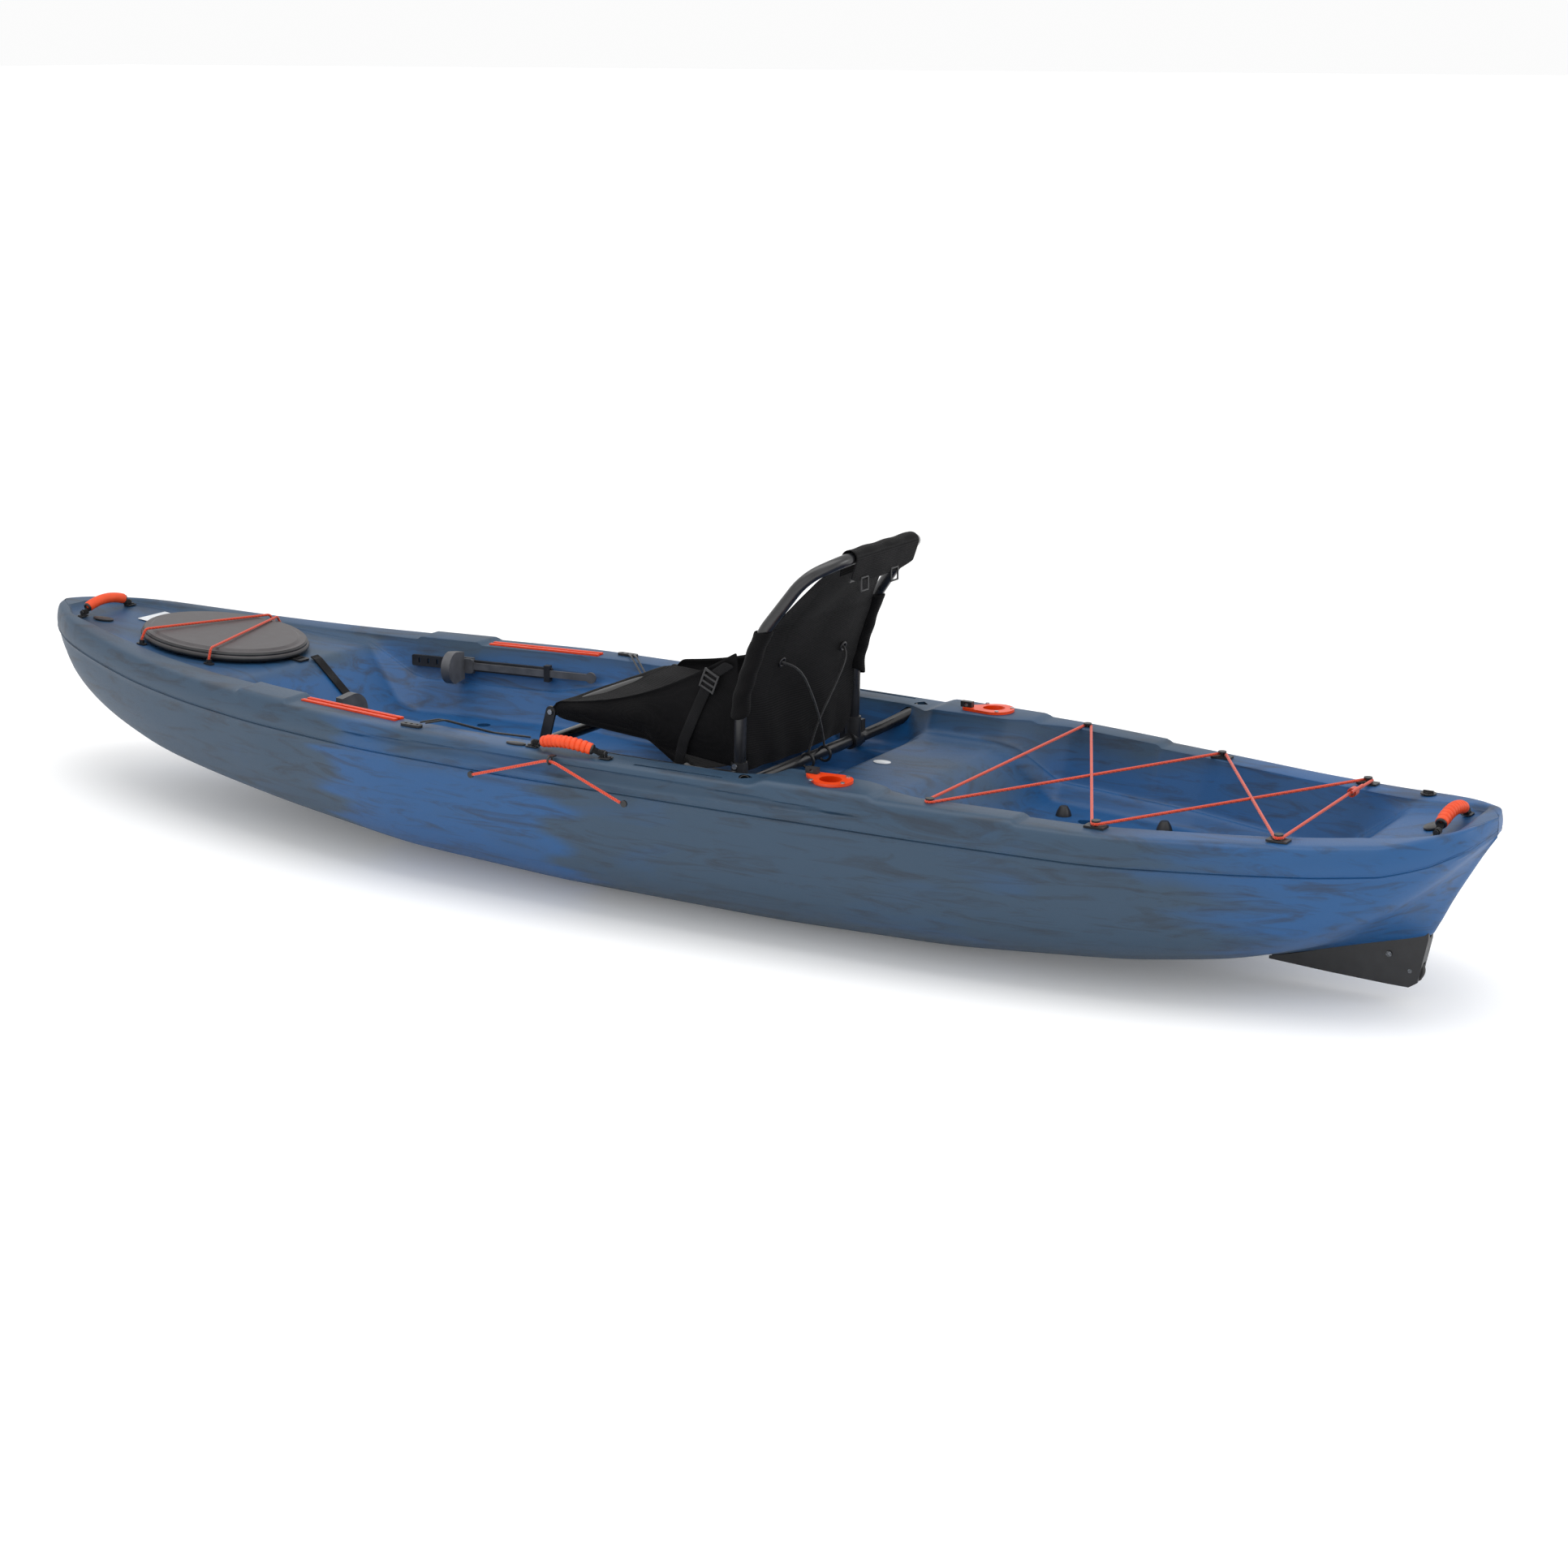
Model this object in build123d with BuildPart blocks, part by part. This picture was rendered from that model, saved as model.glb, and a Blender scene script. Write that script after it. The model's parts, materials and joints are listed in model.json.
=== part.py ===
"""Sit-on-top angling kayak with a framed folding seat, an oval hatch, a laced tank well and a wheeled skeg.

Millimetres. +X runs aft, +Y to starboard, +Z up. The origin is on the floor under the middle of the hull,
at the point where the flat of the keel rests.
"""

import os
from math import cos, radians, sin, sqrt

from build123d import *

# ---------------------------------------------------------------- driving dimensions
WALL = 5.0  # thickness of both hull mouldings
SEAM_FLARE = 7.0  # the moulding seam stands this far outside the shoulder
SEAM_GAP = 1.2  # gap at the seam between the two mouldings

# Table of offsets: station x, half beam at the shoulder, sheer height, seam height, keel height, height at half
# the half beam.
OFFSETS = [
    (-1782, 22, 402, 352, 335, 344),
    (-1740, 70, 402, 347, 275, 290),
    (-1650, 138, 397, 340, 190, 216),
    (-1500, 200, 380, 323, 112, 150),
    (-1300, 266, 362, 304, 52, 100),
    (-1100, 318, 352, 294, 26, 76),
    (-850, 372, 347, 289, 10, 52),
    (-500, 424, 346, 288, 2.5, 22),
    (-100, 428, 343, 285, 0.5, 8),
    (400, 410, 341, 283, 0.5, 5.5),
    (800, 388, 338, 280, 6, 16),
    (1150, 344, 331, 274, 20, 45),
    (1360, 286, 335, 278, 42, 76),
    (1520, 246, 342, 286, 92, 128),
    (1640, 208, 352, 297, 124, 196),
    (1675, 183, 358, 304, 133, 228),
    (1710, 152, 364, 312, 212, 262),
    (1760, 92, 374, 334, 305, 318),
    (1782, 34, 378, 352, 340, 345),
]

# The open well in the deck: x, floor height, half width of the floor, shelf height, inner and outer half width of
# the shelf, half width at the sheer.
WELL = [
    (-1715, 389, 50, 393, 52, 54, 58),
    (-1660, 384, 96, 388, 98, 100, 104),
    (-1520, 372, 132, 376, 136, 138, 144),
    (-1480, 368.5, 144, 372.5, 148, 150, 157),
    (-1240, 347.7, 204, 352, 207, 209, 216),
    (-1030, 329.5, 236, 334, 240, 244, 258),
    (-900, 215, 184, 270, 240, 246, 276),
    (-860, 195, 196, 262, 248, 252, 284),
    (-540, 195, 240, 262, 290, 296, 330),
    (-400, 195, 252, 285, 290, 328, 350),
    (-220, 195, 232, 290, 240, 326, 352),
    (248, 195, 232, 290, 240, 318, 342),
    (266, 195, 232, 255, 240, 300, 341),
    (385, 195, 230, 255, 240, 298, 336),
    (405, 200, 226, 262, 240, 296, 328),
    (470, 304, 225, 308, 240, 262, 284),
    (650, 304, 225, 308, 240, 262, 288),
    (690, 285, 232, 296, 262, 270, 304),
    (775, 200, 250, 236, 276, 285, 322),
    (1100, 195, 214, 228, 238, 246, 282),
    (1400, 195, 128, 224, 150, 158, 204),
    (1440, 212, 122, 234, 142, 150, 194),
    (1575, 328, 112, 334, 132, 136, 150),
    (1690, 345, 114, 352, 119, 121, 127),
    (1728, 352, 96, 358, 99, 101, 106),
]

TUBE_R = 12.5  # seat tubes
CLEAR = 0.4  # gap left between pieces that only lie on each other
BUNGEE_R = 3.0

HATCH_X, HATCH_Z, HATCH_TILT = -1268.0, 350.3, 5.0  # the oval hatch lies on the sloping bow deck
HATCH_HOLE = (160.0, 120.0)  # half axes of the opening in the deck
LID = (210.0, 168.0)  # half axes of the lid
LID_LOW, LID_TOP = 10.0, 26.0  # heights above the deck

SCUPPER_R = 16.0
SCUPPERS = [(-640, -170), (-640, 170), (900, -150), (900, 150)]
PLUG = (1590.0, 186.0)

ROD_X, ROD_Y, ROD_Z = 588.0, 338.0, 352.0  # middle of a rod holder's mouth
ROD_OUTER_R, ROD_INNER_R, ROD_LENGTH = 26.0, 21.0, 215.0
ROD_AFT, ROD_OUT = 25.0, 10.0  # degrees that the holder leans aft and outboard

TRACK_X, TRACK_Y, TRACK_YAW = -588.5, 347.0, 6.95
TRACK_LENGTH, TRACK_WIDTH, TRACK_LOW, TRACK_TOP = 289.0, 27.0, 337.0, 350.0

FOOT_X, FOOT_Y, FOOT_Z, FOOT_YAW = -665.0, 282.0, 305.0, 8.05  # middle of a footrest rail's back
FOOT_PADS = {-1: -35.0, 1: -105.0}  # where each pad stands on its rail, along the rail

SKEG_HALF = 14.0
WHEEL_X, WHEEL_Z, WHEEL_R = 1641.0, 65.0, 24.0
AXLE_R, RUNNING_FIT = 4.0, 0.06

RAIL_Y, RAIL_Z = 262.0, 303.0  # side rails of the seat base, lying on the shelves
SEAT_FRONT_X, SEAT_REAR_X = -172.0, 284.0
BAR_X, BAR_Z = 312.0, 276.0  # the rear bar, on which the back folds
BACK_Y = 226.0
NOTCH_R = 13.9  # the notch in each gunwale that the rear bar's end lies in
PAN_Y, PAN_R = 218.0, 11.0
PAN_POINTS = [(196, 290), (92, 356), (-150, 374)]  # x and z of the pan tube, from its rear end forward
BACK_POINTS = [(312, 226, 296), (316, 226, 455), (368, 224, 600), (452, 206, 712), (505, 150, 742)]

# Carry handles: the middle, the direction from foot to foot, half the span, and the way the grip rises.
HANDLES = {
    "bow": ((-1650, 0, 394), (0, 1, 0), 70, (0, 0, 16)),
    "stern": ((1697, 0, 358.5), (0, 1, 0), 80, (0, 0, 17)),
    "port": ((13, -392, 353.5), (1, 0, 0), 80, (0, -12, 12)),
    "starboard": ((13, 392, 353.5), (1, 0, 0), 80, (0, 12, 12)),
}
GRIP_R = 12.5

CLEATS = [(808, 341), (1128, 294), (1456, 229)]
CLEAT_POST_R = 4.0
EYELETS = (-388.0, 394.0)

os.makedirs("parts", exist_ok=True)


def save(piece, name):
    """Labels a finished part and writes it as one STEP file."""
    piece.part.label = name
    export_step(piece.part, f"parts/{name}.step")


def offset_at(x, column):
    """A column of the table of offsets, read between its stations."""
    for low, high in zip(OFFSETS, OFFSETS[1:]):
        if low[0] <= x <= high[0]:
            share = (x - low[0]) / (high[0] - low[0])
            return low[column] + share * (high[column] - low[column])
    raise ValueError(f"no station at {x}")


def sheer(x):
    return offset_at(x, 2)


def station_plane(x):
    """A plane across the boat at x, whose own x runs to starboard and y runs up."""
    return Plane(origin=(x, 0, 0), x_dir=(0, 1, 0), z_dir=(1, 0, 0))


def side_plane(y):
    """A plane along the boat at y, whose own x runs aft and y runs up. Its normal points to port."""
    return Plane(origin=(0, y, 0), x_dir=(1, 0, 0), z_dir=(0, -1, 0))


def hatch_plane(height=0.0):
    """A plane level with the bow deck at the hatch, raised by height."""
    normal = (sin(radians(HATCH_TILT)), 0, cos(radians(HATCH_TILT)))
    return Plane(origin=(HATCH_X, 0, HATCH_Z), x_dir=(normal[2], 0, -normal[0]), z_dir=normal).offset(height)


def rod_plane(side):
    """The mouth of a rod holder: its normal runs up out of the tube, leaning aft and outboard."""
    aft, out = sin(radians(ROD_AFT)), side * sin(radians(ROD_OUT))
    up = sqrt(1 - aft**2 - out**2)
    return Plane(origin=(ROD_X, side * ROD_Y, ROD_Z), x_dir=(up, 0, -aft), z_dir=(aft, out, up))


def foot_plane(side):
    """The back of a footrest rail, with y up and the normal pointing into the footwell. x runs aft times side."""
    yaw = radians(FOOT_YAW)
    return Plane(
        origin=(FOOT_X, side * FOOT_Y, FOOT_Z),
        x_dir=(side * cos(yaw), sin(yaw), 0),
        z_dir=(sin(yaw), -side * cos(yaw), 0),
    )


def closed_half(half):
    """A closed outline from its starboard half, whose points run from the centre line back to it."""
    return half + [(-y, z) for y, z in reversed(half) if y > 0]


def loft_sections(sections, ruled=False):
    """A solid lofted through (x, outline) sections."""
    with BuildPart() as body:
        for x, outline in sections:
            with BuildSketch(station_plane(x)):
                with BuildLine():
                    Polyline(*outline, close=True)
                make_face()
        loft(ruled=ruled)
    return body


# ---------------------------------------------------------------- tubes and cords
def tube_along(path, radius, hole=0.0):
    """A round rod swept along a wire, or a tube if it has a hole."""
    start = path ^ 0
    with BuildPart() as tube:
        with BuildSketch(Plane(origin=start.position, z_dir=start.z_axis.direction)):
            Circle(radius)
            if hole:
                Circle(hole, mode=Mode.SUBTRACT)
        sweep(path=path)
    return tube


def bent_path(points, radii):
    """Straight runs through the points, joined by tangent arcs of the given radii."""
    with BuildLine() as line:
        FilletPolyline(*points, radius=radii)
    return line.wires()[0]


def soft_path(points, most=1e9):
    """A bent path whose arcs take 0.45 of the shorter run beside each corner, up to the radius most."""
    radii = []
    for a, b, c in zip(points, points[1:], points[2:]):
        before, after = Vector(*b) - Vector(*a), Vector(*c) - Vector(*b)
        half_turn = radians(before.get_angle(after)) / 2
        radii.append(min(most, 0.45 * min(before.length, after.length) * cos(half_turn) / sin(half_turn)))
    return bent_path(points, radii)


def both_sides(half):
    """A route across the boat from its starboard half, whose first point is the outermost."""
    return half + [(x, -y, z) for x, y, z in reversed(half)]


# ---------------------------------------------------------------- hull mouldings
def bottom_half(station, inset):
    """Starboard half of the bottom moulding's section, moved in by inset."""
    x, beam, top, seam, keel, turn = station
    rise = seam - turn
    half = [
        (0, keel),
        (0.25 * beam, 0.5 * (keel + turn) + 2),
        (0.5 * beam, turn),
        (0.8 * beam, turn + 0.22 * rise),
        (0.95 * beam, turn + 0.55 * rise),
        (beam + SEAM_FLARE, seam),
    ]
    if inset:
        scale = (beam - inset) / beam
        half = [(y * scale, z + inset) for y, z in half[:-1]]
        half += [(beam + SEAM_FLARE - inset, seam), (beam + SEAM_FLARE - inset, seam + 40)]
    return half


def cap_half(station, inset, skirt):
    """Starboard half of the deck moulding's outer section, moved in by inset and carried down by skirt."""
    x, beam, top, seam, keel, turn = station
    low = seam + SEAM_GAP - skirt
    return [
        (0, low),
        (beam + SEAM_FLARE - inset, low),
        (beam + 2 - inset, top - 10 - 0.6 * inset),
        (beam - 8 - 0.8 * inset, top - inset),
        (0, top - inset),
    ]


def well_half(station, top, grow):
    """Starboard half of the well's section, grown outwards and downwards by grow."""
    x, floor, floor_half, shelf, shelf_in, shelf_out, top_half = station
    return [
        (0, floor - grow),
        (floor_half + 0.5 * grow, floor - grow),
        (shelf_in + 0.7 * grow, shelf - grow),
        (shelf_out + 0.7 * grow, shelf - grow),
        (top_half + grow, top),
        (0, top),
    ]


def moulding(half, stations, *sizes):
    return loft_sections([(s[0], closed_half(half(s, *sizes))) for s in stations])


def make_hull_shell():
    """The bottom moulding: an open shell with a drain tube standing on it below each scupper."""
    inner = moulding(bottom_half, OFFSETS[1:-1], WALL)
    with BuildPart() as drains:
        with Locations(*SCUPPERS):
            Cylinder(SCUPPER_R + WALL, 188, align=(Align.CENTER, Align.CENTER, Align.MIN))
        add(bottom_solid.part, mode=Mode.INTERSECT)
    with BuildPart() as shell:
        add(bottom_solid.part)
        add(inner.part, mode=Mode.SUBTRACT)
        add(drains.part)
        with BuildSketch(Plane.XY.offset(-1)):
            with Locations(*SCUPPERS):
                Circle(SCUPPER_R)
        extrude(amount=200, mode=Mode.SUBTRACT)
    return shell


def make_deck():
    """The deck moulding: a cap over the seam, with the tub of the wells let into it."""
    cap = moulding(cap_half, OFFSETS, 0, 0)
    under = moulding(cap_half, OFFSETS[1:-1], WALL, 30)
    tub = loft_sections([(s[0], closed_half(well_half(s, sheer(s[0]) - 3, WALL))) for s in WELL], ruled=True)
    well = loft_sections([(s[0], closed_half(well_half(s, sheer(s[0]) + 60, 0))) for s in WELL], ruled=True)
    with BuildPart() as deck:
        add(cap.part)
        add(under.part, mode=Mode.SUBTRACT)
        for side in (-1, 1):
            with BuildSketch(Plane.XY.offset(ROD_Z)):
                with Locations((ROD_X, side * (ROD_Y - 2))):
                    RectangleRounded(186, 104, 22)
            extrude(amount=-20, taper=-8)
            add(track_block(side, TRACK_LENGTH + 10, TRACK_WIDTH + 8, TRACK_LOW - 5, 344).part)
        add(tub.part)
        add(well.part, mode=Mode.SUBTRACT)
        with BuildSketch(hatch_plane(5)):
            Ellipse(*HATCH_HOLE)
        extrude(amount=-20, mode=Mode.SUBTRACT)
        with BuildSketch(Plane.XY.offset(180)):
            with Locations(*SCUPPERS):
                Circle(SCUPPER_R)
        extrude(amount=40, mode=Mode.SUBTRACT)
        for side in (-1, 1):
            with BuildSketch(rod_plane(side).offset(-60)):
                Circle(ROD_OUTER_R + 1)
            extrude(amount=90, mode=Mode.SUBTRACT)
            add(track_block(side, TRACK_LENGTH + 1, TRACK_WIDTH + 1, TRACK_LOW - CLEAR, 360).part, mode=Mode.SUBTRACT)
            add(tube_along(rear_bar_end(side), NOTCH_R).part, mode=Mode.SUBTRACT)
        with Locations((*PLUG, 340)):
            Cylinder(9, 60, mode=Mode.SUBTRACT)
    return deck


# ---------------------------------------------------------------- fittings let into the deck
def track_block(side, length, width, low, top):
    """A block in the place of one gear track."""
    with BuildPart() as block:
        with BuildSketch(Plane.XY.offset(low)):
            with Locations(Location((TRACK_X, side * TRACK_Y), side * TRACK_YAW)):
                Rectangle(length, width)
        extrude(amount=top - low)
    return block


def track_end(side):
    """The forward end of a gear track, with x across it and y up."""
    yaw = radians(TRACK_YAW)
    half = TRACK_LENGTH / 2
    origin = (TRACK_X - half * cos(yaw), side * (TRACK_Y - half * sin(yaw)), TRACK_LOW)
    return Plane(origin=origin, x_dir=(-side * sin(yaw), cos(yaw), 0), z_dir=(cos(yaw), side * sin(yaw), 0))


def make_track(side):
    """A gear track: a channel with a T-shaped groove and two raised lips."""
    height = TRACK_TOP - TRACK_LOW
    with BuildPart() as track:
        with BuildSketch(track_end(side)):
            with Locations((0, height / 2)):
                Rectangle(TRACK_WIDTH, height)
            with Locations((0, height - 2)):
                Rectangle(9, 4.1, mode=Mode.SUBTRACT)
            with Locations((0, height - 6.5)):
                Rectangle(17, 5.2, mode=Mode.SUBTRACT)
            with Locations((-9, height), (9, height)):
                Rectangle(2.4, 1.6, mode=Mode.SUBTRACT)
        extrude(amount=TRACK_LENGTH)
        with Locations(track_end(side).offset(TRACK_LENGTH / 2)):
            with Locations(*[Location((0, 0, s), (90, 0, 0)) for s in (-125, -42, 42, 125)]):
                Cylinder(2.2, 20, mode=Mode.SUBTRACT)
    return track


def make_track_screws():
    """Pan-head screws at the bottom of both tracks' grooves."""
    with BuildPart() as screws:
        for side in (-1, 1):
            with Locations(track_end(side).offset(TRACK_LENGTH / 2)):
                with Locations(*[Location((0, 4.1, s), (-90, 0, 0)) for s in (-125, -42, 42, 125)]):
                    Cylinder(3.6, 1.8, align=(Align.CENTER, Align.CENTER, Align.MIN))
    return screws


def make_rod_holder(side):
    """A flush rod holder: a leaning blind tube under a flange with three screw holes."""
    with BuildPart() as holder:
        with BuildSketch(rod_plane(side).offset(-ROD_LENGTH)):
            Circle(ROD_OUTER_R)
        extrude(amount=ROD_LENGTH + 30)
        with BuildSketch(Plane.XY.offset(ROD_Z + 44)):
            Rectangle(4000, 1000)
        extrude(amount=-40, mode=Mode.SUBTRACT)
        with BuildSketch(Plane.XY.offset(ROD_Z + CLEAR)):
            with Locations((ROD_X + 8, side * ROD_Y)):
                Circle(39)
            with Locations((ROD_X - 46, side * (ROD_Y - 18))):
                Circle(15)
            make_hull()
        extrude(amount=5.6)
        with BuildSketch(rod_plane(side).offset(-ROD_LENGTH + 6)):
            Circle(ROD_INNER_R)
        extrude(amount=ROD_LENGTH + 60, mode=Mode.SUBTRACT)
        with BuildSketch(Plane.XY.offset(ROD_Z)):
            with Locations(*rod_screw_spots(side)):
                Circle(2.6)
        extrude(amount=10, mode=Mode.SUBTRACT)
    return holder


def rod_screw_spots(side):
    return [(ROD_X - 26, side * (ROD_Y + 27)), (ROD_X + 38, side * (ROD_Y + 16)), (ROD_X + 24, side * (ROD_Y - 29))]


def make_rod_screws():
    with BuildPart() as screws:
        for side in (-1, 1):
            with Locations(*[(x, y, ROD_Z + 6.1) for x, y in rod_screw_spots(side)]):
                Cylinder(4.4, 2, align=(Align.CENTER, Align.CENTER, Align.MIN))
    return screws


def make_rod_clips():
    """A small bridge clip at the forward corner of each rod holder's flange."""
    with BuildPart() as clips:
        for side in (-1, 1):
            with Locations((ROD_X - 50, side * (ROD_Y - 20), ROD_Z + 6.2)):
                Box(26, 12, 12, align=(Align.CENTER, Align.CENTER, Align.MIN))
            with Locations(Location((ROD_X - 50, side * (ROD_Y - 20), ROD_Z + 11), (90, 0, 0))):
                Cylinder(4, 20, mode=Mode.SUBTRACT)
    return clips


# ---------------------------------------------------------------- hatch
def oval_slab(half_axes, low, top, hole=None, taper=0.0):
    """An oval plate or ring on the hatch's axis, between two heights above the deck."""
    with BuildPart() as slab:
        with BuildSketch(hatch_plane(low)):
            Ellipse(*half_axes)
            if hole:
                Ellipse(*hole, mode=Mode.SUBTRACT)
        extrude(amount=top - low, taper=taper)
    return slab


def make_hatch_rim():
    """The hatch collar: a flange on the deck, a neck through the opening and a lip above."""
    with BuildPart() as rim:
        add(oval_slab((190, 148), CLEAR, 5, HATCH_HOLE).part)
        add(oval_slab((159, 119), -26, 9, (152, 112)).part)
        add(oval_slab((161, 121), CLEAR, 9, (152, 112)).part)
    return rim


def make_hatch_lid():
    """The lid: a domed oval plate with a rolled edge and a plug that drops into the collar."""
    with BuildPart() as lid:
        add(oval_slab(LID, LID_LOW, LID_TOP - 7).part)
        fillet(lid.edges().group_by(SortBy.LENGTH)[-1], 3)
        add(oval_slab((204, 162), LID_TOP - 7, LID_TOP).part)
        add(oval_slab((192, 150), LID_TOP, LID_TOP + 4, taper=60).part)
        add(oval_slab((200, 158), LID_LOW - 1, LID_TOP - 5, (148, 108)).part, mode=Mode.SUBTRACT)
        add(oval_slab((151, 111), -12, LID_TOP - 4, (145, 105)).part)
    return lid


HATCH_HOOKS = [(-117, -154), (103, -166)]  # cord ends, aft of and to starboard of the hatch's middle
HATCH_POST = (-4, 182)  # the post on the starboard side, round which the cord turns


def make_hatch_hooks():
    """Two cups for the cord's ends and the post it turns round."""
    with BuildPart() as hooks:
        with BuildSketch(hatch_plane(CLEAR)):
            with Locations(*HATCH_HOOKS):
                RectangleRounded(24, 15, 4)
            with Locations(HATCH_POST):
                Circle(7)
        extrude(amount=3)
        with BuildSketch(hatch_plane(3)):
            with Locations(*HATCH_HOOKS):
                Circle(6)
                Circle(BUNGEE_R + 0.5, mode=Mode.SUBTRACT)
            with Locations(HATCH_POST):
                Circle(CLEAT_POST_R)
        extrude(amount=9)
    return hooks


def make_hatch_bungee():
    """The cord over the lid: up from one cup, across to the post and back to the other cup."""
    over = LID_TOP + 4 + BUNGEE_R + CLEAR
    (front, front_y), (rear, rear_y) = HATCH_HOOKS
    post, post_y = HATCH_POST
    route = [
        (front, front_y, 3.8),
        (front, front_y, 14),
        (front + 3, front_y + 9, over + 3),
        (post - 12, 171, over),
        (post - 9, post_y + 8, 9),
        (post + 9, post_y + 8, 9),
        (post + 12, 171, over),
        (rear - 3, rear_y + 9, over + 3),
        (rear, rear_y, 14),
        (rear, rear_y, 3.8),
    ]
    points = [hatch_plane().from_local_coords(Vector(*point)) for point in route]
    return tube_along(soft_path([tuple(point) for point in points], 12), BUNGEE_R)


# ---------------------------------------------------------------- tank well lacing
def wrapped_corners(posts, radius):
    """Corner points that lead a route round posts, so that its arcs lie on circles of the given radius."""
    corners = [Vector(*post) for post in posts]
    for _ in range(12):
        moved = [corners[0]]
        for before, corner, post, after in zip(corners, corners[1:], posts[1:], corners[2:]):
            inward = (before - corner).normalized() + (after - corner).normalized()
            turn = (corner - before).get_angle(after - corner)
            moved.append(Vector(*post) - inward.normalized() * (radius / cos(radians(turn) / 2)))
        corners = moved + [corners[-1]]
    return [tuple(corner) for corner in corners]


def cleat_height(x):
    return sheer(x) + 1


def make_tankwell_cleats():
    """Low hook plates along the well's edges, each a base with a post under a small cap."""
    with BuildPart() as cleats:
        for x, y in CLEATS:
            for side in (-1, 1):
                with Locations((x, side * y, cleat_height(x))):
                    Box(40, 24, 4, align=(Align.CENTER, Align.CENTER, Align.MIN))
                    Cylinder(CLEAT_POST_R, 13, align=(Align.CENTER, Align.CENTER, Align.MIN))
                with Locations((x, side * y, cleat_height(x) + 11.5)):
                    Cylinder(CLEAT_POST_R + 4.5, 2.5, align=(Align.CENTER, Align.CENTER, Align.MIN))
    return cleats


def lacing_posts():
    """The posts in the order the lacing meets them, from the knot round to the knot."""
    port = [(x, -y, cleat_height(x) + 7.7) for x, y in CLEATS]
    starboard = [(x, y, cleat_height(x) + 7.7) for x, y in CLEATS]
    knot = (starboard[2][0] + 5.5, starboard[2][1] - 96, starboard[2][2])
    return knot, [knot, port[2], starboard[1], port[0], starboard[0], port[1], starboard[2], knot]


def make_tankwell_bungee():
    knot, posts = lacing_posts()
    corners = wrapped_corners(posts, CLEAT_POST_R + BUNGEE_R + CLEAR)
    ends = [(knot[0] - 2, knot[1] - 2, knot[2]), (knot[0] + 1, knot[1] + 2, knot[2])]
    return tube_along(bent_path([ends[0]] + corners[1:-1] + [ends[1]], CLEAT_POST_R + BUNGEE_R + CLEAR), BUNGEE_R)


def make_tankwell_knot():
    """The knot that joins the lacing's ends, with its two short tails."""
    knot, posts = lacing_posts()
    with BuildPart() as piece:
        with Locations(Location(knot, (90, 0, 0))):
            Cylinder(9, 18)
        with Locations(Location((knot[0] + 6, knot[1] + 3, knot[2] + 6), (90, 0, 30))):
            Cylinder(BUNGEE_R, 58)
        add(make_tankwell_bungee_core().part, mode=Mode.SUBTRACT)
    return piece


def make_tankwell_bungee_core():
    """The room the lacing takes inside the knot."""
    knot, posts = lacing_posts()
    with BuildPart() as core:
        with Locations(Location((knot[0] - 0.5, knot[1], knot[2]), (90, 0, 0))):
            Cylinder(BUNGEE_R + 2.4, 60)
    return core


# ---------------------------------------------------------------- carry handles
def handle_frame(name):
    """The middle, unit direction and rise of a handle, and half its span."""
    centre, along, half, rise = HANDLES[name]
    return Vector(*centre), Vector(*along), half, Vector(*rise)


def handle_route(name):
    centre, along, half, rise = handle_frame(name)
    knee = along * (half - 24)
    return [centre - along * half, centre - knee + rise, centre + knee + rise, centre + along * half]


def make_handle_strap(name):
    """The webbing inside the grip, ending in two eyes that turn on the anchors' pins."""
    centre, along, half, rise = handle_frame(name)
    route = handle_route(name)
    up = rise.normalized()
    inner = along * 5
    path = bent_path([tuple(p) for p in (route[0] + inner, route[1], route[2], route[3] - inner)], 14)
    start = path ^ 0
    with BuildPart() as strap:
        with BuildSketch(Plane(origin=start.position, x_dir=along.cross(up), z_dir=start.z_axis.direction)):
            Rectangle(12, 3)
        sweep(path=path)
        for foot in (route[0], route[3]):
            with BuildSketch(Plane(origin=foot, z_dir=along)):
                Circle(6.5)
            extrude(amount=7, both=True)
            with BuildSketch(Plane(origin=foot, z_dir=along)):
                Circle(3 + RUNNING_FIT)
            extrude(amount=10, both=True, mode=Mode.SUBTRACT)
    return strap


def make_handle_grip(name):
    """The moulded grip round the webbing, with finger ribs on all but the bow's."""
    centre, along, half, rise = handle_frame(name)
    length = half - 31
    middle = centre + rise
    with BuildPart() as grip:
        with BuildSketch(Plane(origin=middle, z_dir=along)):
            Circle(GRIP_R - (0 if name == "bow" else 2))
        extrude(amount=length, both=True)
        if name != "bow":
            for step in range(-4, 5):
                with BuildSketch(Plane(origin=middle + along * (step * length / 4.6), z_dir=along)):
                    Circle(GRIP_R)
                extrude(amount=length / 15, both=True)
        with BuildSketch(Plane(origin=middle, x_dir=along.cross(rise.normalized()), z_dir=along)):
            Rectangle(12.8, 3.8)
        extrude(amount=length + 1, both=True, mode=Mode.SUBTRACT)
    return grip


def make_handle_anchors(name):
    """At each end of a handle: a screwed plate with a lug, and the pin in it that the webbing turns on."""
    centre, along, half, rise = handle_frame(name)
    with BuildPart() as anchors:
        for end in (-1, 1):
            foot = centre + along * (end * half)
            outward = along * end
            with BuildSketch(Plane(origin=foot + outward * 10 - Vector(0, 0, 9), x_dir=along, z_dir=(0, 0, 1))):
                RectangleRounded(28, 20, 5)
            extrude(amount=2)
            with BuildSketch(Plane(origin=foot + outward * 9.6, z_dir=along)):
                Circle(5)
            extrude(amount=1.8, both=True)
            with Locations(foot + outward * 9.6 - Vector(0, 0, 4.4)):
                Box(3.6 if along.X else 8, 8 if along.X else 3.6, 8.8)
            with BuildSketch(Plane(origin=foot - outward * 6.8, z_dir=outward)):
                Circle(3)
            extrude(amount=17)
            with Locations(foot + outward * 17.5 - Vector(0, 0, 6)):
                Cylinder(4.5, 3)
    return anchors


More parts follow.
